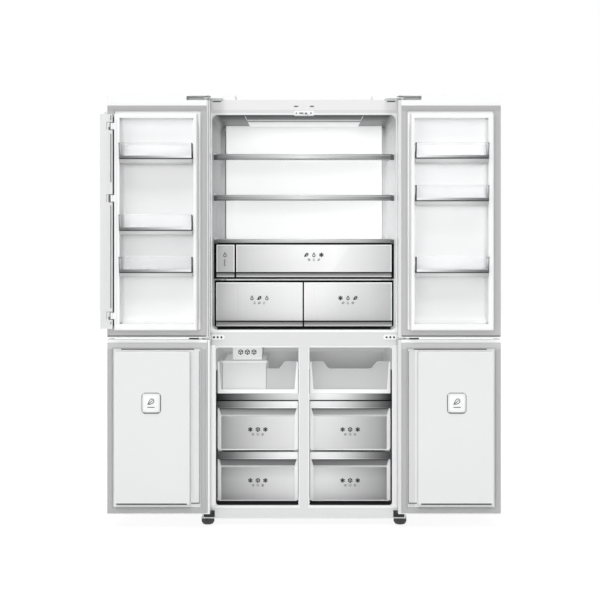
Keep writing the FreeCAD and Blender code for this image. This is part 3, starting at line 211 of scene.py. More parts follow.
def moulded(name, colour, gloss=(0.36, 0.46), drift=0.03, fine=900, broad=7, depth=0.0002, strength=0.12,
            **constants):
    """Moulded or painted skin: a slight drift of tone, uneven gloss and a fine grain."""
    material, tree, shader = new_finish(name, **constants)
    grain = place(tree, GRAIN, Fine=fine, Broad=broad)
    colour = colour if isinstance(colour, tuple) else grey(colour)
    darker = [part * (1 - drift) for part in colour]
    tree.links.new(between(tree, grain["Tone"], darker, colour), shader.inputs["Base Color"])
    tree.links.new(spread(tree, grain["Tone"], *gloss), shader.inputs["Roughness"])
    roughen(tree, shader, grain["Height"], depth, strength)
    return material


def graded(name, stops, axis, start, end, lines, gloss=(0.24, 0.36), streak=0.06, sheen=None, **constants):
    """Grey along one axis under brush lines: painted reflection on metal and lacquer, painted shade
    elsewhere.

    A sheen is (direction, start, end, drop), used for a painted reflection edge and for painted shade: past
    a place along it the grey is darker by the drop.
    """
    material, tree, shader = new_finish(name, **constants)
    along = fade(tree, start, end, **{axis: 1})
    brushed = place(tree, LINES, X=lines[0], Y=lines[1], Z=lines[2])
    dull, full = ramp_of(tree, along, scaled(stops, 1 - streak)), ramp_of(tree, along, stops)
    colour = between(tree, brushed["Tone"], dull, full)
    if sheen:
        direction, first, last, drop = sheen
        darker = ramp_of(tree, along, scaled(stops, 1 - drop))
        colour = between(tree, fade(tree, first, last, **direction), colour, darker)
    tree.links.new(colour, shader.inputs["Base Color"])
    tree.links.new(spread(tree, brushed["Tone"], *gloss), shader.inputs["Roughness"])
    roughen(tree, shader, brushed["Height"], 0.0002, 0.06)
    return material


def clear(name, colour, **constants):
    """See-through sheet or moulding with a faint waviness and a light shadow."""
    material = moulded(name, colour, (0.02, 0.05), drift=0.02, fine=60, broad=12, depth=0.0004,
                       strength=0.03, transmission_weight=1, **constants)
    tree = material.node_tree
    path = tree.nodes.new("ShaderNodeLightPath")
    alpha = tree.nodes["Principled BSDF"].inputs["Alpha"]
    tree.links.new(spread(tree, path.outputs["Is Shadow Ray"], 1, 0.1), alpha)
    return material


def tinted(material, colour, start, end, socket="Base Color", **direction):
    """Carries a finish over to another colour past a place along a direction of the object."""
    tree = material.node_tree
    entry = tree.nodes["Principled BSDF"].inputs[socket]
    before = entry.links[0].from_socket if entry.is_linked else 0
    tree.links.new(between(tree, fade(tree, start, end, **direction), before, colour), entry)
    return material


def two_tone(name, front_colour, rest_colour, limit, glow=0, **constants):
    """One colour in front of a depth, another behind it; a glow stands for light deep inside the hollow."""
    material = moulded(name, front_colour, (0.3, 0.42), drift=0.04, fine=700, strength=0.1,
                       emission_strength=1 if glow else 0, **constants)
    tinted(material, rest_colour, limit - 0.0005, limit + 0.0005, Y=1)
    if glow:
        tinted(material, glow, limit + 0.02, limit + 0.05, "Emission Color", Y=1)
    return material


# Depth over which the fridge liner's flange turns into its walls, and the painted glow that stands for the
# lamp's light on them, from front to back
FLANGE_DEPTH = (-0.229, -0.205)
LEFT_PAINTED_GLOW, RIGHT_PAINTED_GLOW = ((0, 0.01), (0.85, 0.01), (1, 0.11)), ((0, 0.3), (0.6, 0.27), (1, 0.2))


def lit_walls(name, tone):
    """Liner skin with painted shade under the ceiling, to the front and on the top flange, and a painted
    glow for the lamp's light, most on its right-hand wall.
    """
    material = moulded(name, tone, gloss=(0.34, 0.46), emission_strength=1)
    tree = material.node_tree
    right = fade(tree, 0.402, 0.4095, X=1)
    depth = fade(tree, -0.2, 0.28, Y=1)
    under = fade(tree, 1.56, 1.835, Z=1)
    low_wash = between(tree, right, ramp_of(tree, depth, LEFT_PAINTED_GLOW), ramp_of(tree, depth, RIGHT_PAINTED_GLOW))
    wash = between(tree, under, low_wash, between(tree, right, 0, 0.12))
    shades = ((0, tone), (0.8, tone * 0.9), (0.94, tone * 0.62), (1, 0.25))
    front, back = ramp_of(tree, under, scaled(shades, 0.64)), ramp_of(tree, under, shades)
    walls = between(tree, fade(tree, -0.2, 0.12, Y=1), front, back)
    flange = between(tree, fade(tree, 1.838, 1.842, Z=1), grey(tone * 1.02), grey(tone * 0.78))
    tree.links.new(flange, tree.nodes["Principled BSDF"].inputs["Base Color"])
    tinted(material, walls, *FLANGE_DEPTH, Y=1)
    return tinted(material, wash, *FLANGE_DEPTH, "Emission Color", Y=1)


def recess_painted_shade(name, floor, shade_tones, painted_glows):
    """Door liner skin with painted shade and a faint painted glow on its recess floor, from its foot to its
    head.
    """
    material = moulded(name, 0.89, gloss=(0.32, 0.44), emission_strength=1)
    tree = material.node_tree
    height = fade(tree, 0.95, 1.76, Z=1)
    for socket, stops in (("Base Color", shade_tones), ("Emission Color", painted_glows)):
        tinted(material, ramp_of(tree, height, stops), floor - 0.03, floor - 0.008, socket, Y=1)
    return material


# Grain of the paint, and where its grey changes: at the hinges, on the outer skin and on the top rail
PAINT_GRAIN = {"fine": 1500, "depth": 0.00004}
HINGE_STRIP, OUTER_SKIN, TOP_RAIL = (-0.4295, -0.4275), (-0.264, -0.26), (1.853, 1.857)


def door_paint(level, side, sign):
    """White paint of a door panel, greyer beside the hinge and on the outer skin."""
    material = moulded(f"{level}_{side}_door_paint", 0.9, (0.22, 0.3), coat_weight=0.25, **PAINT_GRAIN)
    tinted(material, 0.82 if (level, side) == ("lower", "left") else 0.7, *HINGE_STRIP, X=-sign)
    return tinted(material, 0.62, *OUTER_SKIN, Y=1)


INK = grey(0.003, 0)
LIT = {"emission_color": (1, 1, 1, 1)}
WHITE_PAINT = moulded("white_paint", 0.7, (0.26, 0.34), coat_weight=0.15, **PAINT_GRAIN)
tinted(WHITE_PAINT, 0.77, *TOP_RAIL, Z=1)
LINER_WHITE = moulded("liner_white", 0.87, (0.34, 0.46))
# The duct panel's glow is painted light that keeps the back of the fridge bright.
GLOWING_DUCT_WHITE = moulded("duct_white_painted_glow", 0.92, (0.24, 0.32), drift=0.015, emission_strength=0.4, **LIT)
DOOR_LINER_WHITE = moulded("door_liner_white", 0.89, (0.32, 0.44))
PLATEAU_WHITE = {side: moulded(f"{side}_plateau_white", 0.75, (0.34, 0.44)) for side, _ in SIDES}
tinted(PLATEAU_WHITE["right"], 0.64, -0.488, -0.485, X=-1)
TRAY_WHITE = moulded("tray_white", 0.88, (0.3, 0.42))
PANEL_GREY = moulded("panel_grey", 0.7, (0.34, 0.44))
SEAL_GREY = moulded("seal_grey", 0.44, (0.55, 0.68), drift=0.06, fine=1800)
# The seals' grey changes with height as painted light and shade: lighter along the tops of the lower seals
# and on the upper seals, darker along the upper seals' tops
for seal_shade, seal_height in ((0.52, 0.795), (0.47, 0.838), (0.405, 1.838)):
    tinted(SEAL_GREY, seal_shade, seal_height, seal_height + 0.005, Z=1)
FOLD_GREY = moulded("fold_grey", 0.2, (0.6, 0.7), drift=0.06)
# Dark plastic, also used for strips of painted shadow
DARK_PLASTIC_AND_SHADE = moulded("dark_plastic", 0.016, (0.36, 0.5), drift=0.2)
# Grey of printed marks, also used for lines of painted shade
MARK_AND_SHADE_GREY = moulded("mark_and_shade_grey", 0.09, (0.4, 0.5), drift=0.1)
SOFT_MARK = moulded("soft_mark", 0.36, (0.4, 0.5), drift=0.1)
CAP_SHADOW = moulded("cap_shadow", 0.17, (0.5, 0.6), drift=0.1)
FILTER_GREY = moulded("filter_grey", 0.8, (0.3, 0.4))
HINGE_WHITE = moulded("hinge_white", 0.9, (0.26, 0.36))
FOOT_BLACK = moulded("foot_black", 0.02, (0.12, 0.2), drift=0.25, coat_weight=0.4)
SCREW_STEEL = moulded("screw_steel", 0.04, (0.3, 0.42), drift=0.2, metallic=0.8)
ZINC = moulded("zinc_plate", 0.58, (0.3, 0.5), drift=0.14, fine=240, metallic=0.85)
SHEET_GREY = moulded("sheet_grey", 0.55, (0.42, 0.58), drift=0.12, fine=160, metallic=0.4)
FOAM_CREAM = moulded("foam_cream", (0.74, 0.68, 0.48), (0.8, 0.92), drift=0.2, fine=350, depth=0.001)
COIL_METAL = moulded("coil_metal", 0.66, (0.3, 0.46), drift=0.12, metallic=0.9)
COMPRESSOR_BLACK = moulded("compressor_black", 0.022, (0.3, 0.46), drift=0.3, fine=500)
LAMP_WHITE = moulded("lamp_white", 0.8, (0.4, 0.5), emission_strength=0.4, **LIT)
# The freezer's back wall glows: painted light that evens out the shade deep in the freezer
GLOWING_FREEZER_BACK = moulded("freezer_back", 0.3, (0.4, 0.5), emission_strength=0.26, **LIT)
DEEP_BLACK = moulded("deep_black", INK, (0.5, 0.6), drift=0.2, specular_ior_level=0.05)
BEAM_WHITE = moulded("beam_white", 0.73, (0.3, 0.42))
# The uprights beside the lower drawers glow: painted light
GLOWING_UPRIGHT_WHITE = moulded("upright_white_painted_glow", 0.94, (0.3, 0.42), emission_strength=0.2, **LIT)
SHELF_GLASS = clear("shelf_glass", (0.93, 0.965, 0.955), ior=1.46)
BIN_CLEAR = clear("bin_clear", 0.9, ior=1.12)
# Dark see-through finish that paints how the clear bin walls look dark seen edge-on
EDGE_ON_SHADE = clear("edge_on_shade", 0.08, ior=1.3)
FRIDGE_WALLS = lit_walls("fridge_walls", 0.87)
FREEZER_WHITE = two_tone("freezer_white", 0.74, grey(0.6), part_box("freezer_liner")[0].y + 0.004, 0.12)
# Painted light that brightens the shaded edges of both cavities, as (finish, glow, start, end, direction)
EDGE_GLOWS = ((FRIDGE_WALLS, 0.2, 0.4105, 0.412, {"X": -1}), (FRIDGE_WALLS, 0.1, 0.4105, 0.412, {"X": 1}),
              (FREEZER_WHITE, 0.24, 0.3955, 0.397, {"X": -1}),
              (FREEZER_WHITE, 0.12, 0.3955, 0.397, {"X": 1}),
              (FREEZER_WHITE, 0.12, -0.0915, -0.0905, {"Z": -1}))
for liner, glow, first, last, direction in EDGE_GLOWS:
    tinted(liner, glow, first, last, "Emission Color", **direction)

# Painted shade and glow on the recess floor of each upper door, for the bins' shadows and the light between
# them, from its foot to its head
RECESS_SHADES = {"left": [(0, 0.86), (0.3, 0.86), (0.68, 0.81), (0.85, 0.88), (1, 0.97)],
                "right": [(0, 0.8), (0.4, 0.86), (0.68, 0.96), (1, 0.97)]}
RECESS_PAINTED_GLOWS = {"left": [(0, 0), (0.85, 0), (1, 0.02)], "right": [(0, 0), (0.3, 0), (0.68, 0.1), (1, 0.03)]}
RECESS_WHITE = {side: recess_painted_shade(f"{side}_recess_white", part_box(f"upper_{side}_door_bins")[1].y,
                                    RECESS_SHADES[side], RECESS_PAINTED_GLOWS[side]) for side, _ in SIDES}

# Counts of brush lines per metre along x, y and z
LEVEL_BRUSH, UPRIGHT_BRUSH = (3, 900, 900), (420, 420, 2.5)


def wide_metal(name, stops, brush=LEVEL_BRUSH, **constants):
    """Graded grey from the left to the right wall of the fridge, used for painted reflection and painted
    shade.
    """
    return graded(name, stops, "X", -FRIDGE_WALL, FRIDGE_WALL, brush, **constants)


# Greys across the fridge paint the reflection on the shelf trims, dark at the walls; the sheen paints the
# lower shelf's metal darker, as shade
SHELF_STOPS = [(0, 0.17), (0.05, 0.29), (0.16, 0.41), (0.32, 0.56), (0.485, 0.8), (0.68, 0.55), (0.86, 0.37),
               (0.95, 0.2), (1, 0.14)]
SHELF_METAL = wide_metal("shelf_metal", SHELF_STOPS, metallic=0.15, sheen=({"Z": -1}, -1.561, -1.559, 0.155))

FINISH_OF = {
    "outer_case": WHITE_PAINT, "foam_insulation": FOAM_CREAM, "fridge_liner": FRIDGE_WALLS,
    "freezer_liner": FREEZER_WHITE, "rear_panel": SHEET_GREY, "base_plate": ZINC,
    "machine_room_cover": SHEET_GREY, "compressor": COMPRESSOR_BLACK, "evaporator_coils": COIL_METAL,
    "fridge_duct_panel": GLOWING_DUCT_WHITE, "ceiling_lamp": LAMP_WHITE, "mullion_guide": LINER_WHITE,
    "drawer_partition": LINER_WHITE, "glass_shelves": SHELF_GLASS, "crisper_cover": SHELF_GLASS,
    "freezer_shelves": SHELF_GLASS, "shelf_trims": SHELF_METAL, "ice_maker": PANEL_GREY,
    "freezer_duct_covers": GLOWING_FREEZER_BACK, "top_hinges": HINGE_WHITE, "hinge_covers": HINGE_WHITE,
    "middle_hinges": HINGE_WHITE, "bottom_hinges": SCREW_STEEL, "mullion_brackets": HINGE_WHITE,
    "flip_mullion": BEAM_WHITE, "rear_roller_left": DARK_PLASTIC_AND_SHADE, "rear_roller_right": DARK_PLASTIC_AND_SHADE,
    "lower_left_filter_cap": FILTER_GREY, "lower_right_filter_cap": FILTER_GREY,
}
for level, side, sign in DOORS:
    FINISH_OF[f"{level}_{side}_door_panel"] = door_paint(level, side, sign)
    FINISH_OF[f"{level}_{side}_door_liner"] = (RECESS_WHITE if level == "upper" else PLATEAU_WHITE)[side]


def paint(node, material):
    for slot in NODES[node].material_slots:
        slot.material = material


for node, material in FINISH_OF.items():
    paint(node, material)


# Mesh helpers; every piece is drawn where it stands


def blanks(count):
    return [bmesh.new() for _ in range(count)]


def polar(u, v, radius, degrees):
    angle = math.radians(degrees)
    return (u + radius * math.cos(angle), v + radius * math.sin(angle))


def quarter(steps):
    """Cosine and sine of the steps of a quarter turn."""
    return [polar(0, 0, 1, 90 * step / steps) for step in range(steps + 1)]


def rounded(low_u, high_u, low_v, high_v, radius, steps=5):
    """Rectangle with rounded corners as (u, v) points, anticlockwise."""
    corners = ((high_u - radius, low_v + radius, -90), (high_u - radius, high_v - radius, 0),
               (low_u + radius, high_v - radius, 90), (low_u + radius, low_v + radius, 180))
    turns = [90 * step / steps for step in range(steps + 1)]
    return [polar(u, v, radius, first + turn) for u, v, first in corners for turn in turns]


def facing(outline, y):
    """Outline of (x, z) points set upright at a depth."""
    return [(u, y, v) for u, v in outline]


def at(y, z, profile):
    """Profile of (y, z) offsets moved to its place."""
    return [(y + back, z + up) for back, up in profile]


def oblong(front, back, low, high):
    """Rectangular profile of (y, z) points."""
    return [(back, low), (front, low), (front, high), (back, high)]


def loft(shape, rings, closed=False):
    """Skin over rings of equal length; the ends are capped unless the last ring meets the first."""
    rows = [[shape.verts.new(point) for point in ring] for ring in rings]
    pairs = list(zip(rows, rows[1:]))
    if closed:
        pairs.append((rows[-1], rows[0]))
    count = len(rows[0])
    for first, second in pairs:
        for index in range(count):
            after = (index + 1) % count
            shape.faces.new((first[index], first[after], second[after], second[index]))
    if not closed:
        shape.faces.new(rows[0][::-1])
        shape.faces.new(rows[-1])


def front_area(node):
    """(left, right, low, high) of a node and its front and back y."""
    low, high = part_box(node)
    return (low.x, high.x, low.z, high.z), low.y, high.y


def shrunk(area, sides, *ends):
    """Area drawn in at its sides, and by the same or other amounts below and above."""
    below, above = ends or (sides, sides)
    left, right, low, high = area
    return (left + sides, right - sides, low + below, high - above)


def middle_of(area):
    left, right, low, high = area
    return (left + right) / 2, (low + high) / 2


def span(sign, first, second):
    """Two distances from the middle, put on one side and sorted from left to right."""
    return sorted((sign * first, sign * second))


def raised(shape, area, radius, back, front, edge=0.001):
    """Rounded plate from back to front in y, with a softened front edge."""
    rings = []
    for inset, y in ((0, back), (0, front + edge), (edge * 0.3, front + edge * 0.3), (edge, front)):
        rings.append(facing(rounded(*shrunk(area, inset), max(radius - inset, 0.0003)), y))
    loft(shape, rings)


def swept_frame(shape, outer, inner, radius, section):
    """Closed frame between two front areas; the section is (share of the way in, y) points."""
    rings = []
    for share, y in section:
        area = [first + (second - first) * share for first, second in zip(outer, inner)]
        rings.append(facing(rounded(*area, max(radius * (1 - share), 0.0004)), y))
    loft(shape, rings, closed=True)


def bar(shape, left, right, outline, ease=0.0008):
    """Profile of (y, z) points run from left to right, with eased ends."""
    middle_y = sum(y for y, _ in outline) / len(outline)
    middle_z = sum(z for _, z in outline) / len(outline)
    rings = []
    for x, size in ((left, 0.9), (left + ease, 1), (right - ease, 1), (right, 0.9)):
        rings.append([(x, middle_y + (y - middle_y) * size, middle_z + (z - middle_z) * size)
                      for y, z in outline])
    loft(shape, rings)


def plan_shell(shape, levels, radius, closed=False):
    """Skin over rounded rectangles seen from above, as (left, right, front, back, z) levels."""
    loft(shape, [[(u, v, z) for u, v in rounded(*plan, radius)] for *plan, z in levels], closed)


def slab(shape, plan, first, second, radius):
    """Flat plate on a plan of (left, right, front, back) between two heights."""
    plan_shell(shape, [(*plan, first), (*plan, second)], radius)


def stroke(shape, points, width, y, loop=False, proud=0.0003):
    """Raised line through (x, z) points on a front face."""
    path = [*points, points[0]] if loop else points
    for first, second in zip(path, path[1:]):
        along = (Vector(second) - Vector(first)).normalized() * width / 2
        across = Vector((-along.y, along.x))
        start, end = Vector(first) - along, Vector(second) + along
        corners = (start - across, end - across, end + across, start + across)
        loft(shape, [facing(corners, y), facing(corners, y - proud)])


def upright(shape, x, low, high, width, y, proud=0.0003):
    stroke(shape, [(x, low), (x, high)], width, y, proud=proud)


def add_to_scene(name, data):
    item = bpy.data.objects.new(name, data)
    bpy.context.scene.collection.objects.link(item)
    return item


SHARP_ANGLE = math.radians(32)


def piece(name, shape, body, material, replaced=()):
    """Finished object from a bmesh, shaded smooth up to an angle, on its body and material slot."""
    bmesh.ops.recalc_face_normals(shape, faces=shape.faces)
    mesh = bpy.data.meshes.new(name)
    shape.to_mesh(mesh)
    shape.free()
    mesh.shade_smooth()
    mesh.set_sharp_from_angle(angle=SHARP_ANGLE)
    mesh.materials.append(material)
    item = add_to_scene(name, mesh)
    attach(item, body)
    if replaced:
        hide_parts(*replaced)


# Pictograms: each is drawn round a middle, in a radius and a line width, on a face at a depth


def snowflake(shape, x, z, radius, width, y):
    for angle in range(30, 390, 60):
        stroke(shape, [(x, z), polar(x, z, radius, angle)], width, y)
        root = polar(x, z, 0.55 * radius, angle)
        for lean in (-40, 40):
            stroke(shape, [root, polar(*root, 0.34 * radius, angle + lean)], width * 0.8, y)


def droplet(shape, x, z, radius, width, y):
    round_end = [polar(x, z - 0.3 * radius, 0.62 * radius, angle) for angle in range(150, 391, 20)]
    stroke(shape, [(x, z + radius), *round_end], width, y, loop=True)


def leaf(shape, x, z, radius, width, y):
    points = []
    for step in range(17):
        along, across = polar(0, 0, radius, 22.5 * step)
        bulge = 0.5 * across * (1 + 0.3 * along / radius)
        points.append((x + along * 0.75 - bulge * 0.6, z + along * 0.6 + bulge))
    stroke(shape, points, width, y)
    stroke(shape, [(x - 0.95 * radius, z - 0.8 * radius), (x + 0.4 * radius, z + 0.34 * radius)], width, y)


def ice_cube(shape, x, z, radius, width, y):
    rim = [polar(x, z, radius, angle) for angle in range(90, 450, 60)]
    stroke(shape, rim, width, y, loop=True)
    for corner in rim[1::2]:
        stroke(shape, [(x, z), corner], width, y)


def icon_row(shape, signs, x, z, pitch, radius, width, y):
    for index, sign in enumerate(signs):
        sign(shape, x + (index - (len(signs) - 1) / 2) * pitch, z, radius, width, y)


def add_signs(name, body, signs, x, z, y):
    """Two rows of generic signs on a drawer front: large dark ones over small soft ones."""
    large, small = blanks(2)
    icon_row(large, signs, x, z + 0.01, 0.034, 0.009, 0.0034, y)
    icon_row(small, signs[::-1], x, z - 0.012, 0.022, 0.0058, 0.0019, y)
    piece(f"{name}_signs", large, body, DARK_PLASTIC_AND_SHADE)
    piece(f"{name}_small_signs", small, body, SOFT_MARK)


# Doors

# Section of a seal as (share of the way in, rise over its seat); an upper door's free side is wider
SEAL_SECTION = ((0, 0), (0.01, 0.0034), (0.04, 0.0072), (0.08, 0.0083), (0.16, 0.0087), (0.45, 0.0089),
                (0.7, 0.0088), (0.76, 0.0086), (0.78, 0.0076), (0.8, 0.0085), (0.9, 0.0083), (0.95, 0.007),
                (0.985, 0.0034), (1, 0))
SEAL_WIDE, FREE_SEAL_WIDE = 0.026, {"upper": 0.033, "lower": 0.026}


def build_seals():
    """Magnetic gaskets: a clipped foot, a fold on each side and the flat magnet face."""
    for level, side, sign in DOORS:
        node = f"{level}_{side}_door_gasket"
        outer, _, back = front_area(node)
        inner = list(shrunk(outer, SEAL_WIDE))
        inner[0 if sign < 0 else 1] -= sign * (FREE_SEAL_WIDE[level] - SEAL_WIDE)
        seal = bmesh.new()
        swept_frame(seal, outer, inner, 0.002, [(share, back - rise) for share, rise in SEAL_SECTION])
        piece(f"{level}_{side}_seal", seal, f"{level}_{side}_door", SEAL_GREY, (node,))


BIN_FLOORS = {"left": (1.608, 1.298, 1.116), "right": (1.61, 1.426, 1.116)}
BIN_HIGH, BIN_LEAN, BIN_ROUND, BIN_BASE_HIGH, BIN_LINE = 0.088, 0.012, 0.0065, 0.018, 0.004
# Base, and tub up to the rim and down inside, as (rise, inset)
BIN_BASE = ((0, 0.006), (0.0012, 0.003), (0.004, 0.0012), (0.017, 0.0012), (BIN_BASE_HIGH, 0.002))
BIN_TUB = ((0.0184, 0.0026), (0.0204, 0.0014), (0.082, 0.0014), (0.0835, 0.0004), (0.0865, 0.0004),
           (BIN_HIGH, 0.0014), (0.0875, 0.0034), (0.085, 0.004), (0.0224, 0.004), (0.0209, 0.006))
# Dark corner that paints the clear walls seen edge-on, as (distance in from the end, depth), and the front
# trim as (y, z)
BIN_CORNER = ((0.0004, 0.011), (0.0042, 0.0008), (0.005, 0.0024), (0.0016, 0.014))
BIN_TRIM = ((0.001, 0), (-0.0024, 0.0006), (-0.0034, 0.003), (-0.0034, 0.008), (-0.0028, 0.0104),
            (0.001, 0.011))
# Painted reflection on the trim metal and painted shade on the bases, as greys from the outer end to the
# hinge end
BIN_METAL_REFLECTION_STOPS = [(0, 0.13), (0.1, 0.17), (0.4, 0.36), (0.7, 0.62), (0.9, 0.8), (1, 0.9)]
BIN_BASE_SHADE_STOPS = [(0, 0.42), (0.1, 0.5), (0.4, 0.68), (0.6, 0.68), (1, 0.56)]


def add_bin(plan, floor, tubs, bases, edges, trims, lips):
    """One bin on its floor height; the plan is (left, right, front at the rim, back)."""
    left, right, front_top, back = plan

    def level(rise, inset=0):
        front = front_top + BIN_LEAN * (1 - rise / BIN_HIGH)
        return (left + inset, right - inset, front + inset, back - inset, floor + rise)

    plan_shell(bases, [level(*step) for step in BIN_BASE], BIN_ROUND)
    plan_shell(tubs, [level(*step) for step in BIN_TUB], BIN_ROUND)
    for end, inward in ((left, 1), (right, -1)):
        rings = []
        for rise in (BIN_BASE_HIGH, BIN_HIGH - 0.002):
            _, _, front, _, z = level(rise)
            rings.append([(end + inward * reach, front + depth, z) for reach, depth in BIN_CORNER])
        loft(edges, rings)
    _, _, front, _, base_top = level(BIN_BASE_HIGH)
    trim_low = base_top + BIN_LINE
    bar(trims, left + 0.006, right - 0.006, at(front, trim_low, BIN_TRIM))
    lip = oblong(front - 0.0014, front + 0.003, base_top, trim_low - 0.0004)
    bar(lips, left + 0.003, right - 0.003, lip)


def build_bins():
    """Clear door bins: a moulded base with painted shade, a leaning clear tub with a rolled rim and dark
    corners that paint its walls seen edge-on, and a front trim with a painted reflection.
    """
    for side, sign in SIDES:
        node = f"upper_{side}_door_bins"
        (left, right, _, _), front_top, back = front_area(node)
        body = f"upper_{side}_door"
        tubs, bases, edges, trims, lips = blanks(5)
        for floor in BIN_FLOORS[side]:
            add_bin((left, right, front_top, back), floor, tubs, bases, edges, trims, lips)
        ends = (left, right) if sign < 0 else (right, left)
        metal = graded(f"{side}_bin_metal", BIN_METAL_REFLECTION_STOPS, "X", *ends, LEVEL_BRUSH, metallic=0.15)
        base = graded(f"{side}_bin_base", BIN_BASE_SHADE_STOPS, "X", *ends, LEVEL_BRUSH, streak=0.02)
        piece(f"{side}_bin_tubs", tubs, body, BIN_CLEAR, (node,))
        piece(f"{side}_bin_bases", bases, body, base)
        piece(f"{side}_bin_edge_shades", edges, body, EDGE_ON_SHADE)
        piece(f"{side}_bin_lips", lips, body, DARK_PLASTIC_AND_SHADE)
        piece(f"{side}_bin_trims", trims, body, metal, (f"upper_{side}_bin_trims",))


COVE_SIDE, COVE_END, COVE_DEEP = 0.012, 0.034, 0.034
RECESS_FOOT, RECESS_HEAD = 0.028, 0.019


def build_recess_coves():
    """Hollow round where the walls of each upper door's recess meet its floor."""
    for side, _ in SIDES:
        (left, right, _, _), _, back = front_area(f"upper_{side}_door_bins")
        (_, _, low, high), _, _ = front_area(f"upper_{side}_door_liner")
        outer = shrunk((left, right, low, high), -0.0003, RECESS_FOOT, RECESS_HEAD)
        floor = back + 0.0004
        section = [(-0.01, floor - COVE_DEEP)]
        section += [(1 - out, floor - COVE_DEEP * (1 - up) - 0.0002) for out, up in quarter(12)]
        section += [(1, floor + 0.0004), (-0.01, floor + 0.0004)]
        cove = bmesh.new()
        swept_frame(cove, outer, shrunk(outer, COVE_SIDE, COVE_END, COVE_END), COVE_SIDE, section)
        piece(f"{side}_recess_cove", cove, f"upper_{side}_door", RECESS_WHITE[side])


COVE_REACH, RIM_STEP = 0.009, 0.0108
# Skirt beside the raised rim on the hinge side, as (reach, rise over the panel), and its end distances
SKIRT = ((-0.0005, 0.0428), (0.0008, 0.0405), (0.002, 0.034), (0.0032, 0.0245), (0.004, 0.016),
         (0.0045, 0.0095), (-0.0005, 0.0085))
SKIRT_FOOT, SKIRT_HEAD, SKIRT_RUN = 0.024, 0.032, 0.02


def build_rim_coves():
    """Hollow round between each upper door's raised rim and its seal, and a sloping skirt at the hinge."""
    for side, sign in SIDES:
        low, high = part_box(f"upper_{side}_door_liner")
        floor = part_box(f"upper_{side}_door_panel")[0].y
        rim = [low.x, high.x, low.z, high.z]
        hinge_end = 1 if sign < 0 else 0
        rim[hinge_end] += sign * RIM_STEP
        reach = [0.003, 0.003, 0.0002, COVE_REACH]
        reach[hinge_end] = COVE_REACH
        outer = (rim[0] - reach[0], rim[1] + reach[1], rim[2] - reach[2], rim[3] + reach[3])
        section = [(-0.01, floor + 0.0003)]
        section += [(up, floor - 0.0002 - COVE_REACH * (1 - out)) for out, up in quarter(8)]
        section += [(1.03, floor - COVE_REACH), (1.03, floor + 0.0003)]
        cove = bmesh.new()
        swept_frame(cove, outer, rim, COVE_REACH, section)
        first, last, hinge = low.z + SKIRT_FOOT, high.z - SKIRT_HEAD, rim[hinge_end]
        rings = []
        for z, share in ((first, 0.05), (first + SKIRT_RUN, 1), (last - SKIRT_RUN, 1), (last, 0.05)):
            rings.append([(hinge - sign * offset * share, floor - rise, z) for offset, rise in SKIRT])
        loft(cove, rings)
        piece(f"{side}_rim_cove", cove, f"upper_{side}_door", DOOR_LINER_WHITE)
    low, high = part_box("upper_left_door_liner")
    groove = bmesh.new()
    upright(groove, low.x + 0.0113, low.z + 0.03, high.z - 0.03, 0.008, low.y)
    piece("left_rim_groove", groove, "upper_left_door", FILTER_GREY)


# Slit at the middle hinges, lift of the lower liner's flange and step, and width of the painted shadow lines
# on it
HINGE_SLIT, PLATEAU_FLANGE, STEP_LIFT, SHADE_LINE_WIDE = (0.464, 0.505), 0.003, 0.007, 0.0046
# Painted shadow line along the foot of the raised panel as (y, z)
FOOT_SHADE_LINE = ((0.009, -0.0004), (0.0045, -0.0003), (0.0012, 0.0012), (-0.0003, 0.0045), (-0.0004, 0.0078),
             (0.001, 0.0078))
DOOR_SEAMS = (("upper_left_door", -0.4193, 0.0038), ("lower_left_door", -0.4238, 0.0028))


def build_door_lines():
    """Painted shadow under the upper seals and round the lower panels, a dark slit at the middle hinges, and
    two seams.
    """
    for side, sign in SIDES:
        upper, lower = f"upper_{side}_door", f"lower_{side}_door"
        shadow, gaps = blanks(2)
        (left, right, low, _), _, back = front_area(f"{upper}_gasket")
        under_seal = (left + 0.001, right - 0.001, low - 0.0046, low - 0.0003)
        raised(shadow, under_seal, 0.0005, back, back - 0.0009, 0.0002)
        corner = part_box(f"{upper}_panel")[0]
        slit = (*span(sign, *HINGE_SLIT), corner.z - 0.0062, corner.z - 0.0002)
        raised(shadow, slit, 0.001, corner.y + 0.03, corner.y + 0.001, 0.0004)
        piece(f"{upper}_gap_shade_lines", shadow, upper, DARK_PLASTIC_AND_SHADE)
        (left, right, low, high), crest, back = front_area(f"{lower}_liner")
        hinge, free = (right, left) if sign < 0 else (left, right)
        flange, top, step = back - PLATEAU_FLANGE, high - 0.0026, low + 0.0185
        stroke(gaps, [(hinge + sign * 0.03, top), (free - sign * 0.03, top)], SHADE_LINE_WIDE, flange)
        upright(gaps, hinge + sign * 0.0035, low + 0.02, high - 0.012, 0.0026, flange)
        ledge = [(hinge + sign * 0.006, step), (hinge + sign * 0.038, step)]
        stroke(gaps, ledge, SHADE_LINE_WIDE, back - STEP_LIFT)
        first, second = sorted((hinge + sign * 0.056, free - sign * 0.012))
        bar(gaps, first, second, at(crest, low + 0.0168, FOOT_SHADE_LINE))
        piece(f"{lower}_gap_shade_lines", gaps, lower, MARK_AND_SHADE_GREY)
    for body, x, wide in DOOR_SEAMS:
        low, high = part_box(f"{body}_panel")
        seam = bmesh.new()
        upright(seam, x, low.z + 0.006, high.z - 0.006, wide, low.y)
        piece(f"{body}_seam", seam, body, SOFT_MARK)


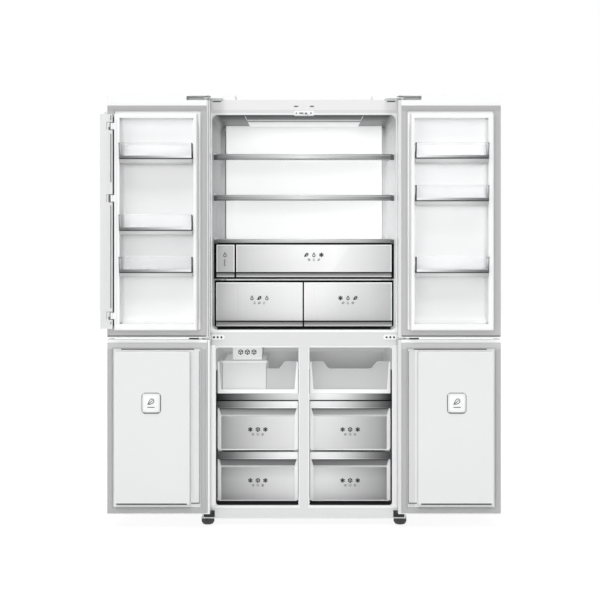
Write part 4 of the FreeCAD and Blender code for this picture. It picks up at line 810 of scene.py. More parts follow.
def build_filter_marks():
    """Raised pad, shadow groove and a generic sign on each odour filter cap."""
    for side, _ in SIDES:
        area, front, _ = front_area(f"lower_{side}_filter_cap")
        body = f"lower_{side}_door"
        pad, groove, sign = blanks(3)
        raised(pad, shrunk(area, 0.008), 0.009, front + 0.0006, front - 0.0007, 0.0006)
        piece(f"{side}_filter_pad", pad, body, DOOR_LINER_WHITE)
        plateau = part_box(f"{body}_liner")[0].y
        sunk, proud = plateau + 0.0004, plateau - 0.0006
        section = [(0, sunk), (0.1, proud), (0.9, proud), (1, sunk)]
        swept_frame(groove, shrunk(area, -0.0042, -0.0068, -0.0036), shrunk(area, 0.0004), 0.017, section)
        piece(f"{side}_filter_groove", groove, body, CAP_SHADOW)
        x, z = middle_of(area)
        leaf(sign, x, z + 0.006, 0.015, 0.0032, front - 0.0007)
        stroke(sign, [(x - 0.014, z - 0.018), (x + 0.014, z - 0.018)], 0.0036, front - 0.0007)
        piece(f"{side}_filter_sign", sign, body, MARK_AND_SHADE_GREY)


BEAM_TOP, BRACKET_HALF = 1.825, 0.017
# Middle height of each bracket, and the top of the notch beside it over that middle
BRACKETS = ((0.945, -0.006), (1.4575, 0.014), (1.773, -0.006))


def build_beam_details():
    """Cover strip and painted shadow lines on the folding centre beam, a black strip of painted shadow in
    the gap beside it, and painted shadow lines round the brackets.
    """
    (left, right, low, _), front, back = front_area("flip_mullion")
    bracket_low, bracket_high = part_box("mullion_brackets")
    strip, lines, catches, gap, outlines = blanks(5)
    cover = (left + 0.004, right - 0.014, low + 0.012, BEAM_TOP - 0.012)
    raised(strip, cover, 0.004, front + 0.0005, front - 0.0009)
    piece("beam_cover", strip, "centre_beam", BEAM_WHITE)
    for first, second in ((low + 0.03, 0.91), (0.98, 1.425), (1.53, 1.738), (1.8, BEAM_TOP - 0.006)):
        upright(lines, right - 0.0075, first, second, 0.004, front + 0.0002, 0.0006)
    catch_left, catch_right = right - 0.0255, bracket_low.x - 0.0035
    hook_left, hook_right = bracket_low.x + 0.001, bracket_high.x - 0.001
    for middle, notch in BRACKETS:
        head = middle + BRACKET_HALF
        upright(catches, catch_left, middle - 0.014, head, 0.0024, front, 0.0013)
        stroke(catches, [(catch_left, head), (catch_right, head)], 0.0024, front, proud=0.0013)
        upright(lines, catch_right, middle - 0.014, middle + notch, 0.005, front, 0.0013)
        for edge in (middle - BRACKET_HALF + 0.001, head - 0.001):
            stroke(outlines, [(hook_left, edge), (hook_right, edge)], 0.003, bracket_low.y, proud=0.0004)
        upright(outlines, hook_left, middle - BRACKET_HALF, head, 0.003, bracket_low.y, 0.0004)
    piece("beam_catch_lines", catches, "centre_beam", SOFT_MARK)
    piece("beam_shadow_lines", lines, "centre_beam", MARK_AND_SHADE_GREY)
    beside = (right - 0.0005, right + 0.006, low + 0.01, BEAM_TOP - 0.01)
    raised(gap, beside, 0.001, back + 0.0014, back + 0.0003, 0.0002)
    piece("beam_gap_shadow", gap, "upper_left_door", DEEP_BLACK)
    piece("bracket_shadow_lines", outlines, "upper_left_door", MARK_AND_SHADE_GREY)


# Fridge compartment

ROW_ONE, ROW_TWO, WHITE_LINE, FACE_PROUD = (1.0975, 1.2588), (0.8752, 1.0912), 0.0042, 0.002
# Top of the scoop and foot of the face over the tub's floor; the grip as (y, z) from its foot and head
SCOOP_HIGH, FACE_LIFT = 0.0229, 0.0268
GRIP_LOW = ((0.0076, 0), (0.0006, 0), (-0.0006, 0.0006), (-0.0006, 0.0052), (0.0006, 0.0062),
            (0.003, 0.0075), (0.0064, 0.012))
GRIP_HIGH = ((0.0064, 0), (0.0076, 0))
# Painted shade and highlight down the grip: bright at its lower lip, dark under the face
SCOOP_STOPS = [(0, 0.7), (0.24, 0.68), (0.27, 0.46), (0.45, 0.42), (0.55, 0.36), (0.75, 0.3), (0.85, 0.2),
               (1, 0.16)]
# Painted reflection on the wide drawer's face: past a slanting edge its grey is darker
WIDE_SHEEN = ({"X": 1, "Z": -0.69}, -0.654, -0.65, 0.06)
# Each drawer's surround, its left, right and top lines, foot of the grip, greys from the left that paint the
# reflection on the face, and signs
FRIDGE_DRAWERS = {
    "water_tank": ((-0.4097, -0.3097, *ROW_ONE), 0.0112, 0.0068, 0.0056, 0.004, [(0, 0.5), (1, 0.58)], ()),
    "wide_drawer": ((-0.3095, 0.4097, *ROW_ONE), 0.001, 0.0112, 0.0056, 0.004,
                    [(0, 0.58), (0.12, 0.67), (0.4, 0.86), (0.62, 0.93), (0.72, 0.85), (1, 0.61)],
                    (leaf, droplet, snowflake)),
    "lower_left_drawer": ((-0.4085, -0.0001, *ROW_TWO), 0.0086, 0.0064, 0.0096, 0.0006,
                          [(0, 0.56), (0.3, 0.69), (0.8, 0.84), (1, 0.88)], (droplet, leaf, droplet)),
    "lower_right_drawer": ((0.0001, 0.4085, *ROW_TWO), 0.0003, 0.0086, 0.0096, 0.0006,
                           [(0, 0.85), (0.2, 0.83), (0.7, 0.66), (1, 0.52)], (snowflake, droplet, leaf)),
}


def build_fridge_drawers():
    """Drawer fronts: a black surround that also paints the shadow in the gaps, a white edge with a painted
    highlight, a silver lacquer face with a painted reflection, and a grip with painted shade.
    """
    for node, (area, left_line, right_line, top_line, grip_foot, stops, signs) in FRIDGE_DRAWERS.items():
        (_, _, tub_low, _), front, _ = front_area(node)
        # The tub's front is painted black: shadow in the gaps round the drawer's front
        paint(node, two_tone(f"{node}_tub", INK, grey(0.8), front + 0.0125, specular_ior_level=0.05))
        left, right, low, high = area
        start, end = left + left_line, right - right_line
        foot, head = tub_low + grip_foot, tub_low + SCOOP_HIGH
        surround, edge, face, grip = blanks(4)
        for part in ((left, right, head, high), (left, start, foot, head), (end, right, foot, head),
                     (left, right, low, foot)):
            raised(surround, part, 0.0001, front - 0.0001, front - 0.0006, 0.0001)
        piece(f"{node}_surround", surround, node, DEEP_BLACK)
        edge_area = (start, end, tub_low + FACE_LIFT, high - top_line)
        raised(edge, edge_area, 0.0015, front + 0.001, front - 0.0012, 0.0005)
        piece(f"{node}_edge", edge, node, HINGE_WHITE)
        face_area = shrunk(edge_area, WHITE_LINE, 0, WHITE_LINE)
        raised(face, face_area, 0.0012, front, front - FACE_PROUD, 0.0006)
        silver = graded(f"{node}_silver", stops, "X", left, right, UPRIGHT_BRUSH, streak=0.04, metallic=0.1,
                        sheen=WIDE_SHEEN if node == "wide_drawer" else None)
        piece(f"{node}_face", face, node, silver)
        bar(grip, start, end, at(front, foot, GRIP_LOW) + at(front, head, GRIP_HIGH))
        steel = graded(f"{node}_grip_metal", SCOOP_STOPS, "Z", foot, head, LEVEL_BRUSH, metallic=0.1)
        piece(f"{node}_grip", grip, node, steel)
        if signs:
            x, z = middle_of(face_area)
            add_signs(node, node, signs, x, z + 0.008, front - FACE_PROUD)


def build_tank_gauge():
    """Drop sign and level marks on the water tank's face."""
    (left, right, low, high), front, _ = front_area("water_tank")
    marks = bmesh.new()
    middle = (left + right) / 2
    surface = front - FACE_PROUD
    droplet(marks, middle, high - 0.048, 0.0095, 0.0034, surface)
    upright(marks, middle - 0.003, low + 0.055, low + 0.084, 0.0026, surface)
    for step in range(5):
        height = low + 0.056 + step * 0.0065
        reach = 0.005 if step % 2 else 0.003
        stroke(marks, [(middle - 0.003, height), (middle + reach, height)], 0.0014, surface)
    piece("tank_gauge", marks, "water_tank", MARK_AND_SHADE_GREY)


def build_drawer_frame():
    """White uprights with a painted glow beside the lower drawers, and black strips of painted shadow before
    and above the drawers.
    """
    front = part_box("lower_left_drawer")[0].y
    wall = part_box("fridge_duct_panel")[1].x + 0.025
    uprights, strips = blanks(2)
    for _, sign in SIDES:
        area = (*span(sign, 0.4088, wall - 0.0002), 0.8745, ROW_TWO[1])
        raised(uprights, area, 0.0005, front + 0.008, front + 0.0002)
    piece("drawer_frame", uprights, "cabinet", GLOWING_UPRIGHT_WHITE)
    reach = wall - 0.0028
    slab(strips, (-reach, reach, front - 0.075, front - 0.0006), 0.8741, 0.8748, 0.02)
    bar(strips, -SHELF_END, SHELF_END, oblong(SHELF_FRONT - 0.001, SHELF_FRONT + 0.006, ROW_ONE[1], 1.2622))
    piece("drawer_shadow_strips", strips, "cabinet", DEEP_BLACK)


# Trims as (middle, height, glass lip, dark line): two shelves and the crisper cover
SHELF_TRIMS = ((1.653, 0.026, 0.0075, 0.0055), (1.467, 0.026, 0.0075, 0.0055))
CRISPER_TRIM = (1.269, 0.02, 0.0065, 0.003)
ALL_TRIMS = (*SHELF_TRIMS, CRISPER_TRIM)
# Painted reflection across the fridge on the glass lips, the dark lines and the crisper trim, dark at the
# walls
LIP_STOPS = [(0, 0.14), (0.04, 0.2), (0.1, 0.5), (0.3, 0.56), (0.7, 0.56), (0.93, 0.5), (0.97, 0.36),
             (1, 0.3)]
DARK_STOPS = [(0, 0.1), (0.06, 0.13), (0.12, 0.26), (0.5, 0.24), (0.88, 0.28), (1, 0.2)]
CRISPER_STOPS = [(0, 0.12), (0.06, 0.2), (0.2, 0.42), (0.42, 0.56), (0.58, 0.56), (0.8, 0.46), (0.94, 0.26),
                 (1, 0.16)]
# Lip, metal and dark line of a trim as (y, z), each from its foot and its head
LIP_LOW, LIP_HIGH = ((0.006, 0), (-0.0006, 0)), ((0.0006, -0.002), (0.003, 0.0003), (0.006, 0.0003))
METAL_LOW = ((0.006, 0), (-0.0008, 0), (-0.0016, 0.002))
METAL_HIGH = ((-0.0016, -0.002), (-0.0008, 0), (0.006, 0))
LINE_LOW, LINE_HIGH = ((0.006, -0.0004), (0, -0.0004)), ((-0.0006, 0), (0.006, 0))


def build_shelf_faces():
    """Front of each shelf trim: a pale glass lip above the metal and a dark line below it, each with a
    painted reflection across the fridge.
    """
    lips, metals, lines, crisper = blanks(4)
    for trim in ALL_TRIMS:
        middle, high, lip, line = trim
        top, bottom = middle + high / 2, middle - high / 2
        band_high, band_low = top - lip, bottom + line
        lip_shape, band_shape = (crisper, crisper) if trim == CRISPER_TRIM else (lips, metals)
        rows = ((lip_shape, band_high, LIP_LOW, top, LIP_HIGH),
                (band_shape, band_low, METAL_LOW, band_high, METAL_HIGH),
                (lines, bottom, LINE_LOW, band_low, LINE_HIGH))
        for shape, foot, foot_part, head, head_part in rows:
            outline = at(SHELF_FRONT, foot, foot_part) + at(SHELF_FRONT, head, head_part)
            bar(shape, -SHELF_END, SHELF_END, outline)
    crisper_metal = wide_metal("crisper_metal", CRISPER_STOPS, metallic=0.1)
    piece("crisper_trim_front", crisper, "cabinet", crisper_metal)
    piece("shelf_lips", lips, "cabinet", wide_metal("shelf_lip", LIP_STOPS))
    piece("shelf_metal_bands", metals, "cabinet", SHELF_METAL)
    piece("shelf_dark_lines", lines, "cabinet", wide_metal("shelf_line", DARK_STOPS))


# Painted shade on the ceiling panel from front to back, and on the seal strips from left to right
CEILING_SHADE_STOPS = [(0, 0.13), (0.4, 0.22), (0.7, 0.32), (1, 0.46)]
SEAL_SHADE_STOPS = [(0, 0.26), (0.48, 0.26), (0.52, 0.7), (1, 0.7)]


def build_fridge_back():
    """Ceiling panel whose grey paints the shade, darker to the front, a light bar before the lamp, and seal
    strips beside the back panel whose greys paint the shadow in the corners, darker on the left.
    """
    lamp_low, lamp_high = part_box("ceiling_lamp")
    (left, right, low, ceiling), panel_front, panel_back = front_area("fridge_duct_panel")
    front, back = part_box("mullion_guide")[1].y + 0.004, lamp_low.y - 0.002
    cover, bars, bezel, strips = blanks(4)
    plan = (left, right, front, back)
    levels = [(*plan, ceiling - 0.0004), (*plan, ceiling - 0.0016), (*shrunk(plan, 0.001), ceiling - 0.0026)]
    plan_shell(cover, levels, 0.006)
    shade = graded("ceiling_painted_shade", CEILING_SHADE_STOPS, "Y", front, back, LEVEL_BRUSH, gloss=(0.5, 0.6),
                   specular_ior_level=0.1)
    piece("ceiling_panel", cover, "cabinet", shade)
    bar_top, bar_low = ceiling - 0.002, ceiling - 0.0032
    slab(bars, (lamp_low.x, lamp_high.x, back - 0.042, back - 0.014), bar_top, bar_low, 0.002)
    for x in (lamp_low.x, lamp_high.x):
        slab(bars, (x - 0.002, x + 0.002, front + 0.002, back - 0.045), bar_top, bar_low, 0.0015)
    piece("light_bar_frame", bars, "cabinet", HINGE_WHITE)
    lamp_plan = (lamp_low.x + 0.0005, lamp_high.x - 0.0005, lamp_low.y, lamp_low.y + 0.036)
    slab(bezel, lamp_plan, lamp_low.z + 0.0003, lamp_low.z - 0.0006, 0.003)
    piece("lamp_bezel", bezel, "cabinet", FOLD_GREY)
    for sign, edge in ((-1, left), (1, right)):
        ends = sorted((edge + sign * 0.0004, edge + sign * 0.005))
        raised(strips, (*ends, low, ceiling - 0.024), 0.001, panel_back, panel_front + 0.006)
    foam = wide_metal("panel_seal_shade", SEAL_SHADE_STOPS, UPRIGHT_BRUSH, gloss=(0.6, 0.7))
    piece("panel_seal_shadow_strips", strips, "cabinet", foam)


# End caps as (y, z) from the foot and the head of the trim, and the clips over them
CAP_LOW, CAP_HIGH = ((0.014, 0), (0.003, 0), (0, 0.003)), ((0, -0.008), (0.004, -0.003), (0.014, -0.002))
CLIP = ((0.012, -0.0015), (0.002, -0.0035), (0.001, 0.002), (0.004, 0.0045), (0.012, 0.004))


def build_shelf_ends():
    """Dark end caps that close the shelf trims, each under a white wall clip."""
    caps, clips = blanks(2)
    front = SHELF_FRONT - 0.0012
    for middle, high, _, _ in ALL_TRIMS:
        half = high / 2 + 0.0008
        for _, sign in SIDES:
            cap = at(front, middle - half, CAP_LOW) + at(front, middle + half, CAP_HIGH)
            bar(caps, *span(sign, SHELF_END, 0.4094), cap)
            bar(clips, *span(sign, 0.4, 0.4096), at(front, middle + half, CLIP))
    piece("shelf_trim_ends", caps, "cabinet", MARK_AND_SHADE_GREY)
    piece("shelf_wall_clips", clips, "cabinet", HINGE_WHITE)


# Sensor caps, strips of painted shadow under the hinge covers and noses before them as (distances from the
# middle, heights)
SENSOR_AT, SENSOR_HALF, SENSOR_LEVELS = 0.035, 0.0135, (1.866, 1.877)
COVER_SHADOW, COVER_SHADOW_LEVELS = (0.37, 0.406), (1.8905, 1.8955)
COVER_NOSE, COVER_NOSE_LEVELS = (0.366, 0.4132), (1.8957, 1.9168)
# Slots of the mullion guide as (x, half width)
GUIDE_SLOTS = ((-0.012, 0.009), (0.009, 0.005), (0.031, 0.004), (-0.034, 0.003))


def build_top_rail():
    """Oval sensor caps on the top rail, noses of the hinge covers over strips of painted shadow, and marks
    of the mullion guide.
    """
    caps, slits, covers = blanks(3)
    front = CASE_FRONT
    for x in (-SENSOR_AT, SENSOR_AT):
        area = (x - SENSOR_HALF, x + SENSOR_HALF, *SENSOR_LEVELS)
        raised(caps, area, 0.0044, front + 0.0002, front - 0.0012, 0.0008)
        raised(slits, shrunk(area, 0.0045, 0.0026, 0.0026), 0.0018, front - 0.0008, front - 0.0015, 0.0003)
    for _, sign in SIDES:
        # A dark strip of painted shadow under each hinge cover's nose
        slit = (*span(sign, *COVER_SHADOW), *COVER_SHADOW_LEVELS)
        raised(slits, slit, 0.001, front + 0.0002, front - 0.002, 0.0004)
        nose = (*span(sign, *COVER_NOSE), *COVER_NOSE_LEVELS)
        raised(covers, nose, 0.003, front + 0.0002, front - 0.0076, 0.0016)
    piece("hinge_cover_noses", covers, "cabinet", HINGE_WHITE)
    (_, _, _, high), guide, _ = front_area("mullion_guide")
    for x, wide in GUIDE_SLOTS:
        slot = (x - wide, x + wide, high - 0.014, high - 0.0085)
        raised(slits, slot, 0.002, guide + 0.0004, guide - 0.0006, 0.0003)
    piece("sensor_caps", caps, "cabinet", FILTER_GREY)
    piece("rail_slits_and_shadows", slits, "cabinet", MARK_AND_SHADE_GREY)


# Freezer compartments

# Painted reflection on the drawn metal of the handles and tray bands, as greys from the outer end to the
# inner end
HANDLE_STOPS = {"left": [(0, 0.062), (0.15, 0.12), (0.3, 0.27), (0.45, 0.46), (0.6, 0.62), (0.75, 0.77),
                         (0.9, 0.86), (1, 0.93)],
                "right": [(0, 0.048), (0.1, 0.095), (0.25, 0.22), (0.4, 0.41), (0.5, 0.54), (0.65, 0.71),
                          (0.8, 0.8), (1, 0.9)]}
BAND_STOPS = {"left": [(0, 0.027), (0.15, 0.055), (0.3, 0.13), (0.45, 0.28), (0.6, 0.43), (0.75, 0.57),
                       (0.9, 0.71), (1, 0.82)],
              "right": [(0, 0.042), (0.1, 0.095), (0.25, 0.24), (0.4, 0.45), (0.55, 0.66), (0.7, 0.78),
                        (0.85, 0.86), (1, 0.92)]}
# Painted reflection across the silver face, and painted shade down the grip, dark under the handle
FACE_STOPS = [(0, 0.32), (0.1, 0.37), (0.3, 0.47), (0.6, 0.63), (0.85, 0.73), (1, 0.8)]
GRIP_STOPS = [(0, 0.48), (0.25, 0.38), (0.5, 0.31), (0.72, 0.22), (0.8, 0.06), (1, 0.04)]
# Bottom drawers stand in shade: share of the grip's grey and drop of the face's grey
SHADED_GRIP, SHADED_FACE = 0.52, 0.26
# Handle, and a bright strip along its lower edge that paints a highlight, as (y, z) from the drawer's front
# and top
HANDLE = ((0.021, -0.0306), (0.001, -0.0306), (-0.0012, -0.0285), (-0.0018, -0.022), (-0.0018, -0.008),
          (-0.0012, -0.0015), (0.001, 0.0006), (0.021, 0.0006))
HANDLE_HIGHLIGHT = ((0.004, -0.0309), (-0.001, -0.0309), (-0.0022, -0.0295), (-0.0022, -0.0266), (0.004, -0.0266))
# Width of the posts, flare of the grip and its ends, and the face's ends over the drawer's floor
POST, GRIP_FLARE, GRIP_RISE, HANDLE_DROP = 0.0165, 0.0055, 0.1535, 0.031
FACE_FOOT, FACE_HEAD = 0.0055, 0.1525
FROST_SIGNS = (snowflake, ice_cube, snowflake)


def build_freezer_drawer(level, side, sign):
    """Freezer drawer front: bar handle with a painted reflection and a painted highlight on its lower edge,
    grip with painted shade, silver face between the posts with a painted reflection, and frost signs.
    """
    node, body = f"freezer_drawer_{level}_{side}", f"freezer_{level}_{side}"
    (left, right, low, high), front, _ = front_area(node)
    paint(node, TRAY_WHITE)
    ends = (left, right) if sign < 0 else (right, left)
    rod, rim, grip, face = blanks(4)
    bar(rod, left + 0.0006, right - 0.0006, at(front, high, HANDLE))
    chrome = graded(f"{node}_chrome", HANDLE_STOPS[side], "X", *ends, LEVEL_BRUSH, metallic=0.15)
    piece(f"{node}_handle", rod, body, chrome)
    bar(rim, left + 0.0008, right - 0.0008, at(front, high, HANDLE_HIGHLIGHT))
    brighter = [(spot, min(value * 1.25 + 0.03, 0.96)) for spot, value in HANDLE_STOPS[side]]
    bright = graded(f"{node}_handle_highlight_metal", brighter, "X", *ends, LEVEL_BRUSH)
    piece(f"{node}_handle_highlight_strip", rim, body, bright)
    foot, head = low + GRIP_RISE, high - HANDLE_DROP
    corners = [(left + POST, foot), (right - POST, foot), (right - GRIP_FLARE, head),
               (left + GRIP_FLARE, head)]
    loft(grip, [facing(corners, front + 0.0238), facing(corners, front + 0.0226)])
    grip_stops = scaled(GRIP_STOPS, 1 if level == "middle" else SHADED_GRIP)
    shade = graded(f"{node}_grip_silver", grip_stops, "Z", foot, head, UPRIGHT_BRUSH)
    piece(f"{node}_grip", grip, body, shade)
    area = (left + POST, right - POST, low + FACE_FOOT, low + FACE_HEAD)
    raised(face, area, 0.002, front + 0.0039, front + 0.001, 0.0008)
    sheen = ({"Z": 1}, low + 0.1, low + 0.15, SHADED_FACE) if level == "bottom" else None
    silver = graded(f"{node}_silver", FACE_STOPS, "X", *ends, UPRIGHT_BRUSH, streak=0.05, sheen=sheen)
    piece(f"{node}_face", face, body, silver)
    add_signs(node, body, FROST_SIGNS, (left + right) / 2, low + 0.083, front + 0.001)


# Top of the painted shade on the side walls, and how far the painted shadow reaches before the bottom
# drawers
SIDE_SHADOW_TOP, SHADOW_REACH = 0.69, 0.05


def build_freezer_edges():
    """Black strips of painted shadow under, before and beside the bottom drawers, dark side lines of painted
    shade, and a white rim round each freezer opening whose edge has a painted highlight.
    """
    # stops gathers the strips of painted shadow, lines the side lines of painted shade, rims the rims that
    # paint a highlight
    stops, lines, rims = blanks(3)
    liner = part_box("freezer_liner")[0].y
    rim_section = [(0, liner + 0.0002), (0.1, liner - 0.0008), (0.8, liner - 0.0008), (1, liner + 0.003)]
    for side, sign in SIDES:
        (left, right, low, _), front, _ = front_area(f"freezer_drawer_bottom_{side}")
        reach, end = front - SHADOW_REACH, front - 0.002
        under = (left - 0.0015, right + 0.0015, low - 0.0045, low - 0.0008)
        raised(stops, under, 0.0005, front + 0.02, front + 0.0004)
        floor_plan = (left - 0.002, right + 0.002, reach, front)
        slab(stops, floor_plan, FREEZER_FLOOR + 0.0002, FREEZER_FLOOR + 0.001, 0.012)
        wall_plan = (*span(sign, FREEZER_OUTER - 0.001, FREEZER_OUTER - 0.0002), reach, end)
        slab(stops, wall_plan, FREEZER_FLOOR + FREEZER_ROUND, SIDE_SHADOW_TOP, 0.0002)
        corner_x, corner_z = FREEZER_OUTER - FREEZER_ROUND, FREEZER_FLOOR + FREEZER_ROUND
        turns = quarter(8)
        arc = []
        for radius, steps in ((FREEZER_ROUND - 0.0002, turns), (FREEZER_ROUND - 0.001, turns[::-1])):
            arc += [(sign * (corner_x + radius * out), corner_z - radius * up) for out, up in steps]
        loft(stops, [facing(arc, reach), facing(arc, end)])
        left, right = span(sign, FREEZER_INNER, FREEZER_OUTER)
        opening = (left, right, FREEZER_FLOOR, FREEZER_CEILING)
        swept_frame(rims, shrunk(opening, -0.0045), shrunk(opening, 0.0004), 0.0185, rim_section)
        for edge in (left + 0.0004, right - 0.0026):
            line = (edge, edge + 0.0022, FREEZER_FLOOR + 0.02, SIDE_SHADOW_TOP)
            raised(lines, line, 0.0004, front + 0.03, front + 0.002)
    piece("drawer_floor_shadows", stops, "cabinet", DEEP_BLACK)
    piece("freezer_side_shadows", lines, "cabinet", DARK_PLASTIC_AND_SHADE)
    piece("freezer_rim_highlights", rims, "cabinet", HINGE_WHITE)


BAND_LOW, BAND_FRONT, BAND_ENDS = 0.553, -0.172, (0.0246, 0.3924)
BAND = ((0.008, -0.0004), (-0.0002, -0.0004), (-0.0014, 0.003), (-0.002, 0.0145), (-0.0014, 0.026),
        (-0.0002, 0.0286), (0.008, 0.0286))


def build_trays():
    """White tray frames with greyer set-back walls, bright bands with a painted reflection along the shelves
    under them, and a black strip of painted shadow in the gap under each band.
    """
    for side, sign in SIDES:
        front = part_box(f"freezer_tray_{side}")[0].y
        paint(f"freezer_tray_{side}", two_tone(f"{side}_tray_white", 0.95, grey(0.54), front + 0.004, 0.1))
        left, right = span(sign, *BAND_ENDS)
        band, gap = blanks(2)
        bar(band, left, right, at(BAND_FRONT, BAND_LOW, BAND))
        ends = (left, right) if sign < 0 else (right, left)
        chrome = graded(f"{side}_band_metal", BAND_STOPS[side], "X", *ends, LEVEL_BRUSH, metallic=0.15)
        piece(f"{side}_tray_band", band, "cabinet", chrome)
        shadow = oblong(BAND_FRONT + 0.0015, BAND_FRONT + 0.008, BAND_LOW - 0.0056, BAND_LOW - 0.0005)
        bar(gap, left, right, shadow)
        piece(f"{side}_tray_gap_shadow", gap, "cabinet", DEEP_BLACK)


# Rim of the ice box as (inset, rise over the box)
ICE_RIM = ((0, -0.0075), (-0.004, -0.007), (-0.004, 0.002), (-0.0028, 0.0026), (0.0045, 0.0026),
           (0.0045, -0.0075))


def build_ice_fittings():
    """Rim of the ice box, and the ice maker's front plate with an ice cube sign."""
    (left, right, _, high), front, back = front_area("ice_box")
    paint("ice_box", two_tone("ice_white", 0.76, grey(0.6), front + 0.004, 0.2))
    rim, shell, sign = blanks(3)
    plan = (left, right, front, back)
    levels = [(*shrunk(plan, inset), high + rise) for inset, rise in ICE_RIM]
    plan_shell(rim, levels, 0.006, closed=True)
    piece("ice_box_rim", rim, "left_tray", HINGE_WHITE)
    area, front, _ = front_area("ice_maker")
    raised(shell, shrunk(area, 0.002, 0.004, 0.003), 0.004, front + 0.001, front - 0.0014, 0.0012)
    piece("ice_maker_plate", shell, "cabinet", LINER_WHITE)
    x, z = middle_of(area)
    icon_row(sign, (ice_cube,) * 3, x, z + 0.004, 0.03, 0.0105, 0.0034, front - 0.0014)
    piece("ice_maker_sign", sign, "cabinet", DARK_PLASTIC_AND_SHADE)


# Hinges, feet and rear

# Dome of a screw head as (share of the radius, rise), and the half sizes of its cross recess
SCREW_DOME = ((1, 0), (1, 0.0007), (0.86, 0.0013), (0.5, 0.0017))
SCREW_CROSS = ((0.6, 0.16), (0.16, 0.6))


def screw_head(heads, slots, x, y, z, radius, outward):
    """Domed screw head on a front or rear face, with a cross recess."""
    rings = []
    for share, rise in SCREW_DOME:
        outline = [polar(x, z, radius * share, angle) for angle in range(0, 360, 15)]
        rings.append(facing(outline, y + outward * rise))
    loft(heads, rings)
    top = y + outward * 0.0016
    for across, up in SCREW_CROSS:
        half_x, half_z = radius * across, radius * up
        corners = [(x + half_x * u, z + half_z * v) for u, v in ((-1, -1), (1, -1), (1, 1), (-1, 1))]
        loft(slots, [facing(corners, top), facing(corners, top + outward * 0.0002)])


def build_hinge_screws():
    """Three screws on each middle hinge."""
    heads, slots = blanks(2)
    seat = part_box("hinge_screws")[0].y + 0.0016
    for _, sign in SIDES:
        for step in range(3):
            screw_head(heads, slots, sign * (0.401 - 0.0165 * step), seat, 0.842, 0.0045, -1)
    piece("hinge_screw_heads", heads, "cabinet", SCREW_STEEL, ("hinge_screws",))
    piece("hinge_screw_slots", slots, "cabinet", DARK_PLASTIC_AND_SHADE)


# Foot as (share of its radius, z, depth of the knurl), and its collar and stem as (radius, z)
FOOT_WHEEL = ((0.76, 0, 0), (0.84, 0.0015, 0), (0.9, 0.006, 0.001), (1, 0.009, 0.004), (1, 0.029, 0.004),
              (0.95, 0.032, 0.002), (0.7, 0.0335, 0))
FOOT_COLLAR = ((0.0095, 0.0338), (0.0092, 0.0346), (0.006, 0.0348))
FOOT_STEM, KNURLS, FOOT_STEPS = 0.0058, 16, 160


def build_feet():
    """Knurled levelling feet with a hub collar and a plain stem."""
    for side, _ in SIDES:
        node = f"front_foot_{side}"
        low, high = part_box(node)
        middle, radius = (low + high) / 2, (high.x - low.x) / 2
        sizes = [(radius * share, z, depth) for share, z, depth in FOOT_WHEEL]
        sizes += [(size, z, 0) for size, z in (*FOOT_COLLAR, (FOOT_STEM, high.z))]
        rings = []
        for size, z, depth in sizes:
            ring = []
            for step in range(FOOT_STEPS):
                turn = 360 * step / FOOT_STEPS
                reach = size - depth * (0.5 - 0.5 * math.cos(math.radians(turn * KNURLS)))
                ring.append((*polar(middle.x, middle.y, reach, turn), z))
            rings.append(ring)
        foot = bmesh.new()
        loft(foot, rings)
        piece(f"{side}_foot", foot, f"foot_{side}", FOOT_BLACK, (node,))


REAR_SCREW, COVER_SCREW_LEVELS = 0.0048, (0.226, 0.05)


def build_rear_details():
    """Screws round the rear panel and along the machine room cover."""
    heads, slots = blanks(2)
    left, right, low, high = front_area("rear_panel")[0]
    spots = []
    for step in range(6):
        z = low + 0.02 + (high - low - 0.04) * step / 5
        spots += [(left + 0.014, z), (right - 0.014, z)]
    for step in range(5):
        x = left + 0.02 + (right - left - 0.04) * step / 4
        spots += [(x, z) for z in COVER_SCREW_LEVELS]
    for x, z in spots:
        screw_head(heads, slots, x, CASE_REAR, z, REAR_SCREW, 1)
    piece("rear_screw_heads", heads, "cabinet", ZINC)
    piece("rear_screw_slots", slots, "cabinet", DARK_PLASTIC_AND_SHADE)


# Stage


def seen_share(tree, share):
    """Socket that is a share for rays from the camera, in gloss and through glass, and 0 for all others."""
    path = tree.nodes.new("ShaderNodeLightPath")
    seen = path.outputs["Is Camera Ray"]
    for other in ("Is Glossy Ray", "Is Transmission Ray"):
        either = tree.nodes.new("ShaderNodeMath")
        either.operation = "MAXIMUM"
        tree.links.new(seen, either.inputs[0])
        tree.links.new(path.outputs[other], either.inputs[1])
        seen = either.outputs[0]
    return spread(tree, seen, 0, share)


def shaded(owner, output, plain, plain_values, shown, shown_values, share):
    """Gives a material or world one shader for its light and, by a share, another for how it looks."""
    owner.use_nodes = True
    tree = owner.node_tree
    tree.nodes.clear()
    mixed = tree.nodes.new("ShaderNodeMixShader")
    tree.links.new(seen_share(tree, share), mixed.inputs["Fac"])
    for index, kind, values in ((1, plain, plain_values), (2, shown, shown_values)):
        shader = tree.nodes.new(kind)
        for label, value in values.items():
            shader.inputs[label].default_value = value
        tree.links.new(shader.outputs[0], mixed.inputs[index])
    tree.links.new(mixed.outputs[0], tree.nodes.new(output).inputs["Surface"])


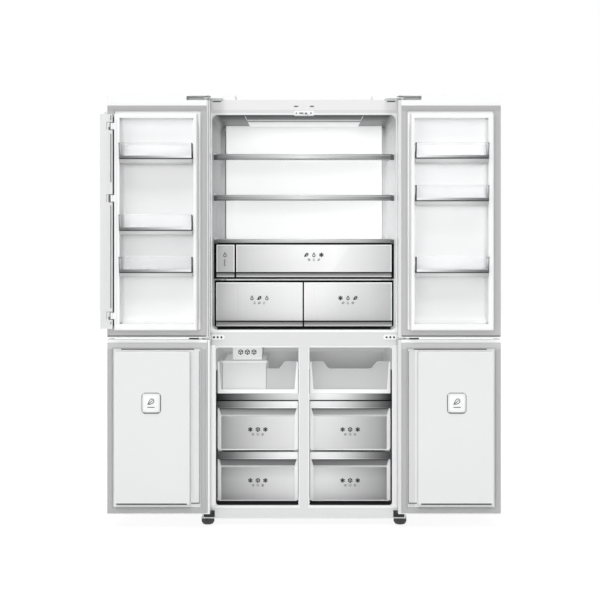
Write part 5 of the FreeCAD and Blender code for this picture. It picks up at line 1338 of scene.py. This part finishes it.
def build_stage():
    """Pale floor that shows as white to the camera but keeps a soft shadow."""
    mesh = bpy.data.meshes.new("floor")
    mesh.from_pydata([(-9, -7, 0), (9, -7, 0), (9, 12, 0), (-9, 12, 0)], [], [(0, 1, 2, 3)])
    material = bpy.data.materials.new("floor_white")
    shaded(material, "ShaderNodeOutputMaterial", "ShaderNodeBsdfDiffuse", {"Color": (0.85, 0.85, 0.85, 1)},
           "ShaderNodeEmission", {"Strength": 1.22}, 0.7)
    mesh.materials.append(material)
    add_to_scene("floor", mesh)


def build_world():
    """White to the camera, in gloss and through glass; a softer fill for the object."""
    world = bpy.data.worlds.new("studio")
    bpy.context.scene.world = world
    white = {"Color": (1, 1, 1, 1)}
    shaded(world, "ShaderNodeOutputWorld", "ShaderNodeBackground", {**white, "Strength": 0.46},
           "ShaderNodeBackground", white, 1)


def sun(name, strength, spread_angle, toward, gloss):
    """Soft distant lamp; one kept out of the gloss shows as if behind a polariser."""
    lamp = bpy.data.lights.new(name, "SUN")
    lamp.energy = strength
    lamp.angle = math.radians(spread_angle)
    item = add_to_scene(name, lamp)
    item.rotation_euler = Vector(toward).to_track_quat("-Z", "Y").to_euler()
    item.visible_glossy = gloss


IMAGE_SIZE = 600


def build_camera():
    """Level camera before the fridge, shifted to the photograph's framing."""
    lens = bpy.data.cameras.new("camera")
    lens.lens = 63.24
    lens.sensor_width = 36
    lens.shift_x = -4 / IMAGE_SIZE
    lens.shift_y = -66 / IMAGE_SIZE
    camera = add_to_scene("camera", lens)
    camera.location = (0, -4.932, 1.302)
    camera.rotation_euler = (math.radians(90), 0, 0)
    bpy.context.scene.camera = camera


build_seals()
build_bins()
build_recess_coves()
build_rim_coves()
build_door_lines()
build_filter_marks()
build_beam_details()
build_fridge_drawers()
build_tank_gauge()
build_drawer_frame()
build_shelf_faces()
build_fridge_back()
build_shelf_ends()
build_top_rail()
for level in ("middle", "bottom"):
    for side, sign in SIDES:
        build_freezer_drawer(level, side, sign)
build_freezer_edges()
build_trays()
build_ice_fittings()
build_hinge_screws()
build_feet()
build_rear_details()
build_stage()
build_world()
sun("front_sun", 0.88, 14, (0.02, 1, -0.05), False)
sun("left_sun", 0.45, 40, (0.8, 1, -0.2), False)
sun("overhead_sun", 1.15, 30, (0.05, 0.6, -1), True)
build_camera()
bpy.context.scene.view_settings.view_transform = "Standard"
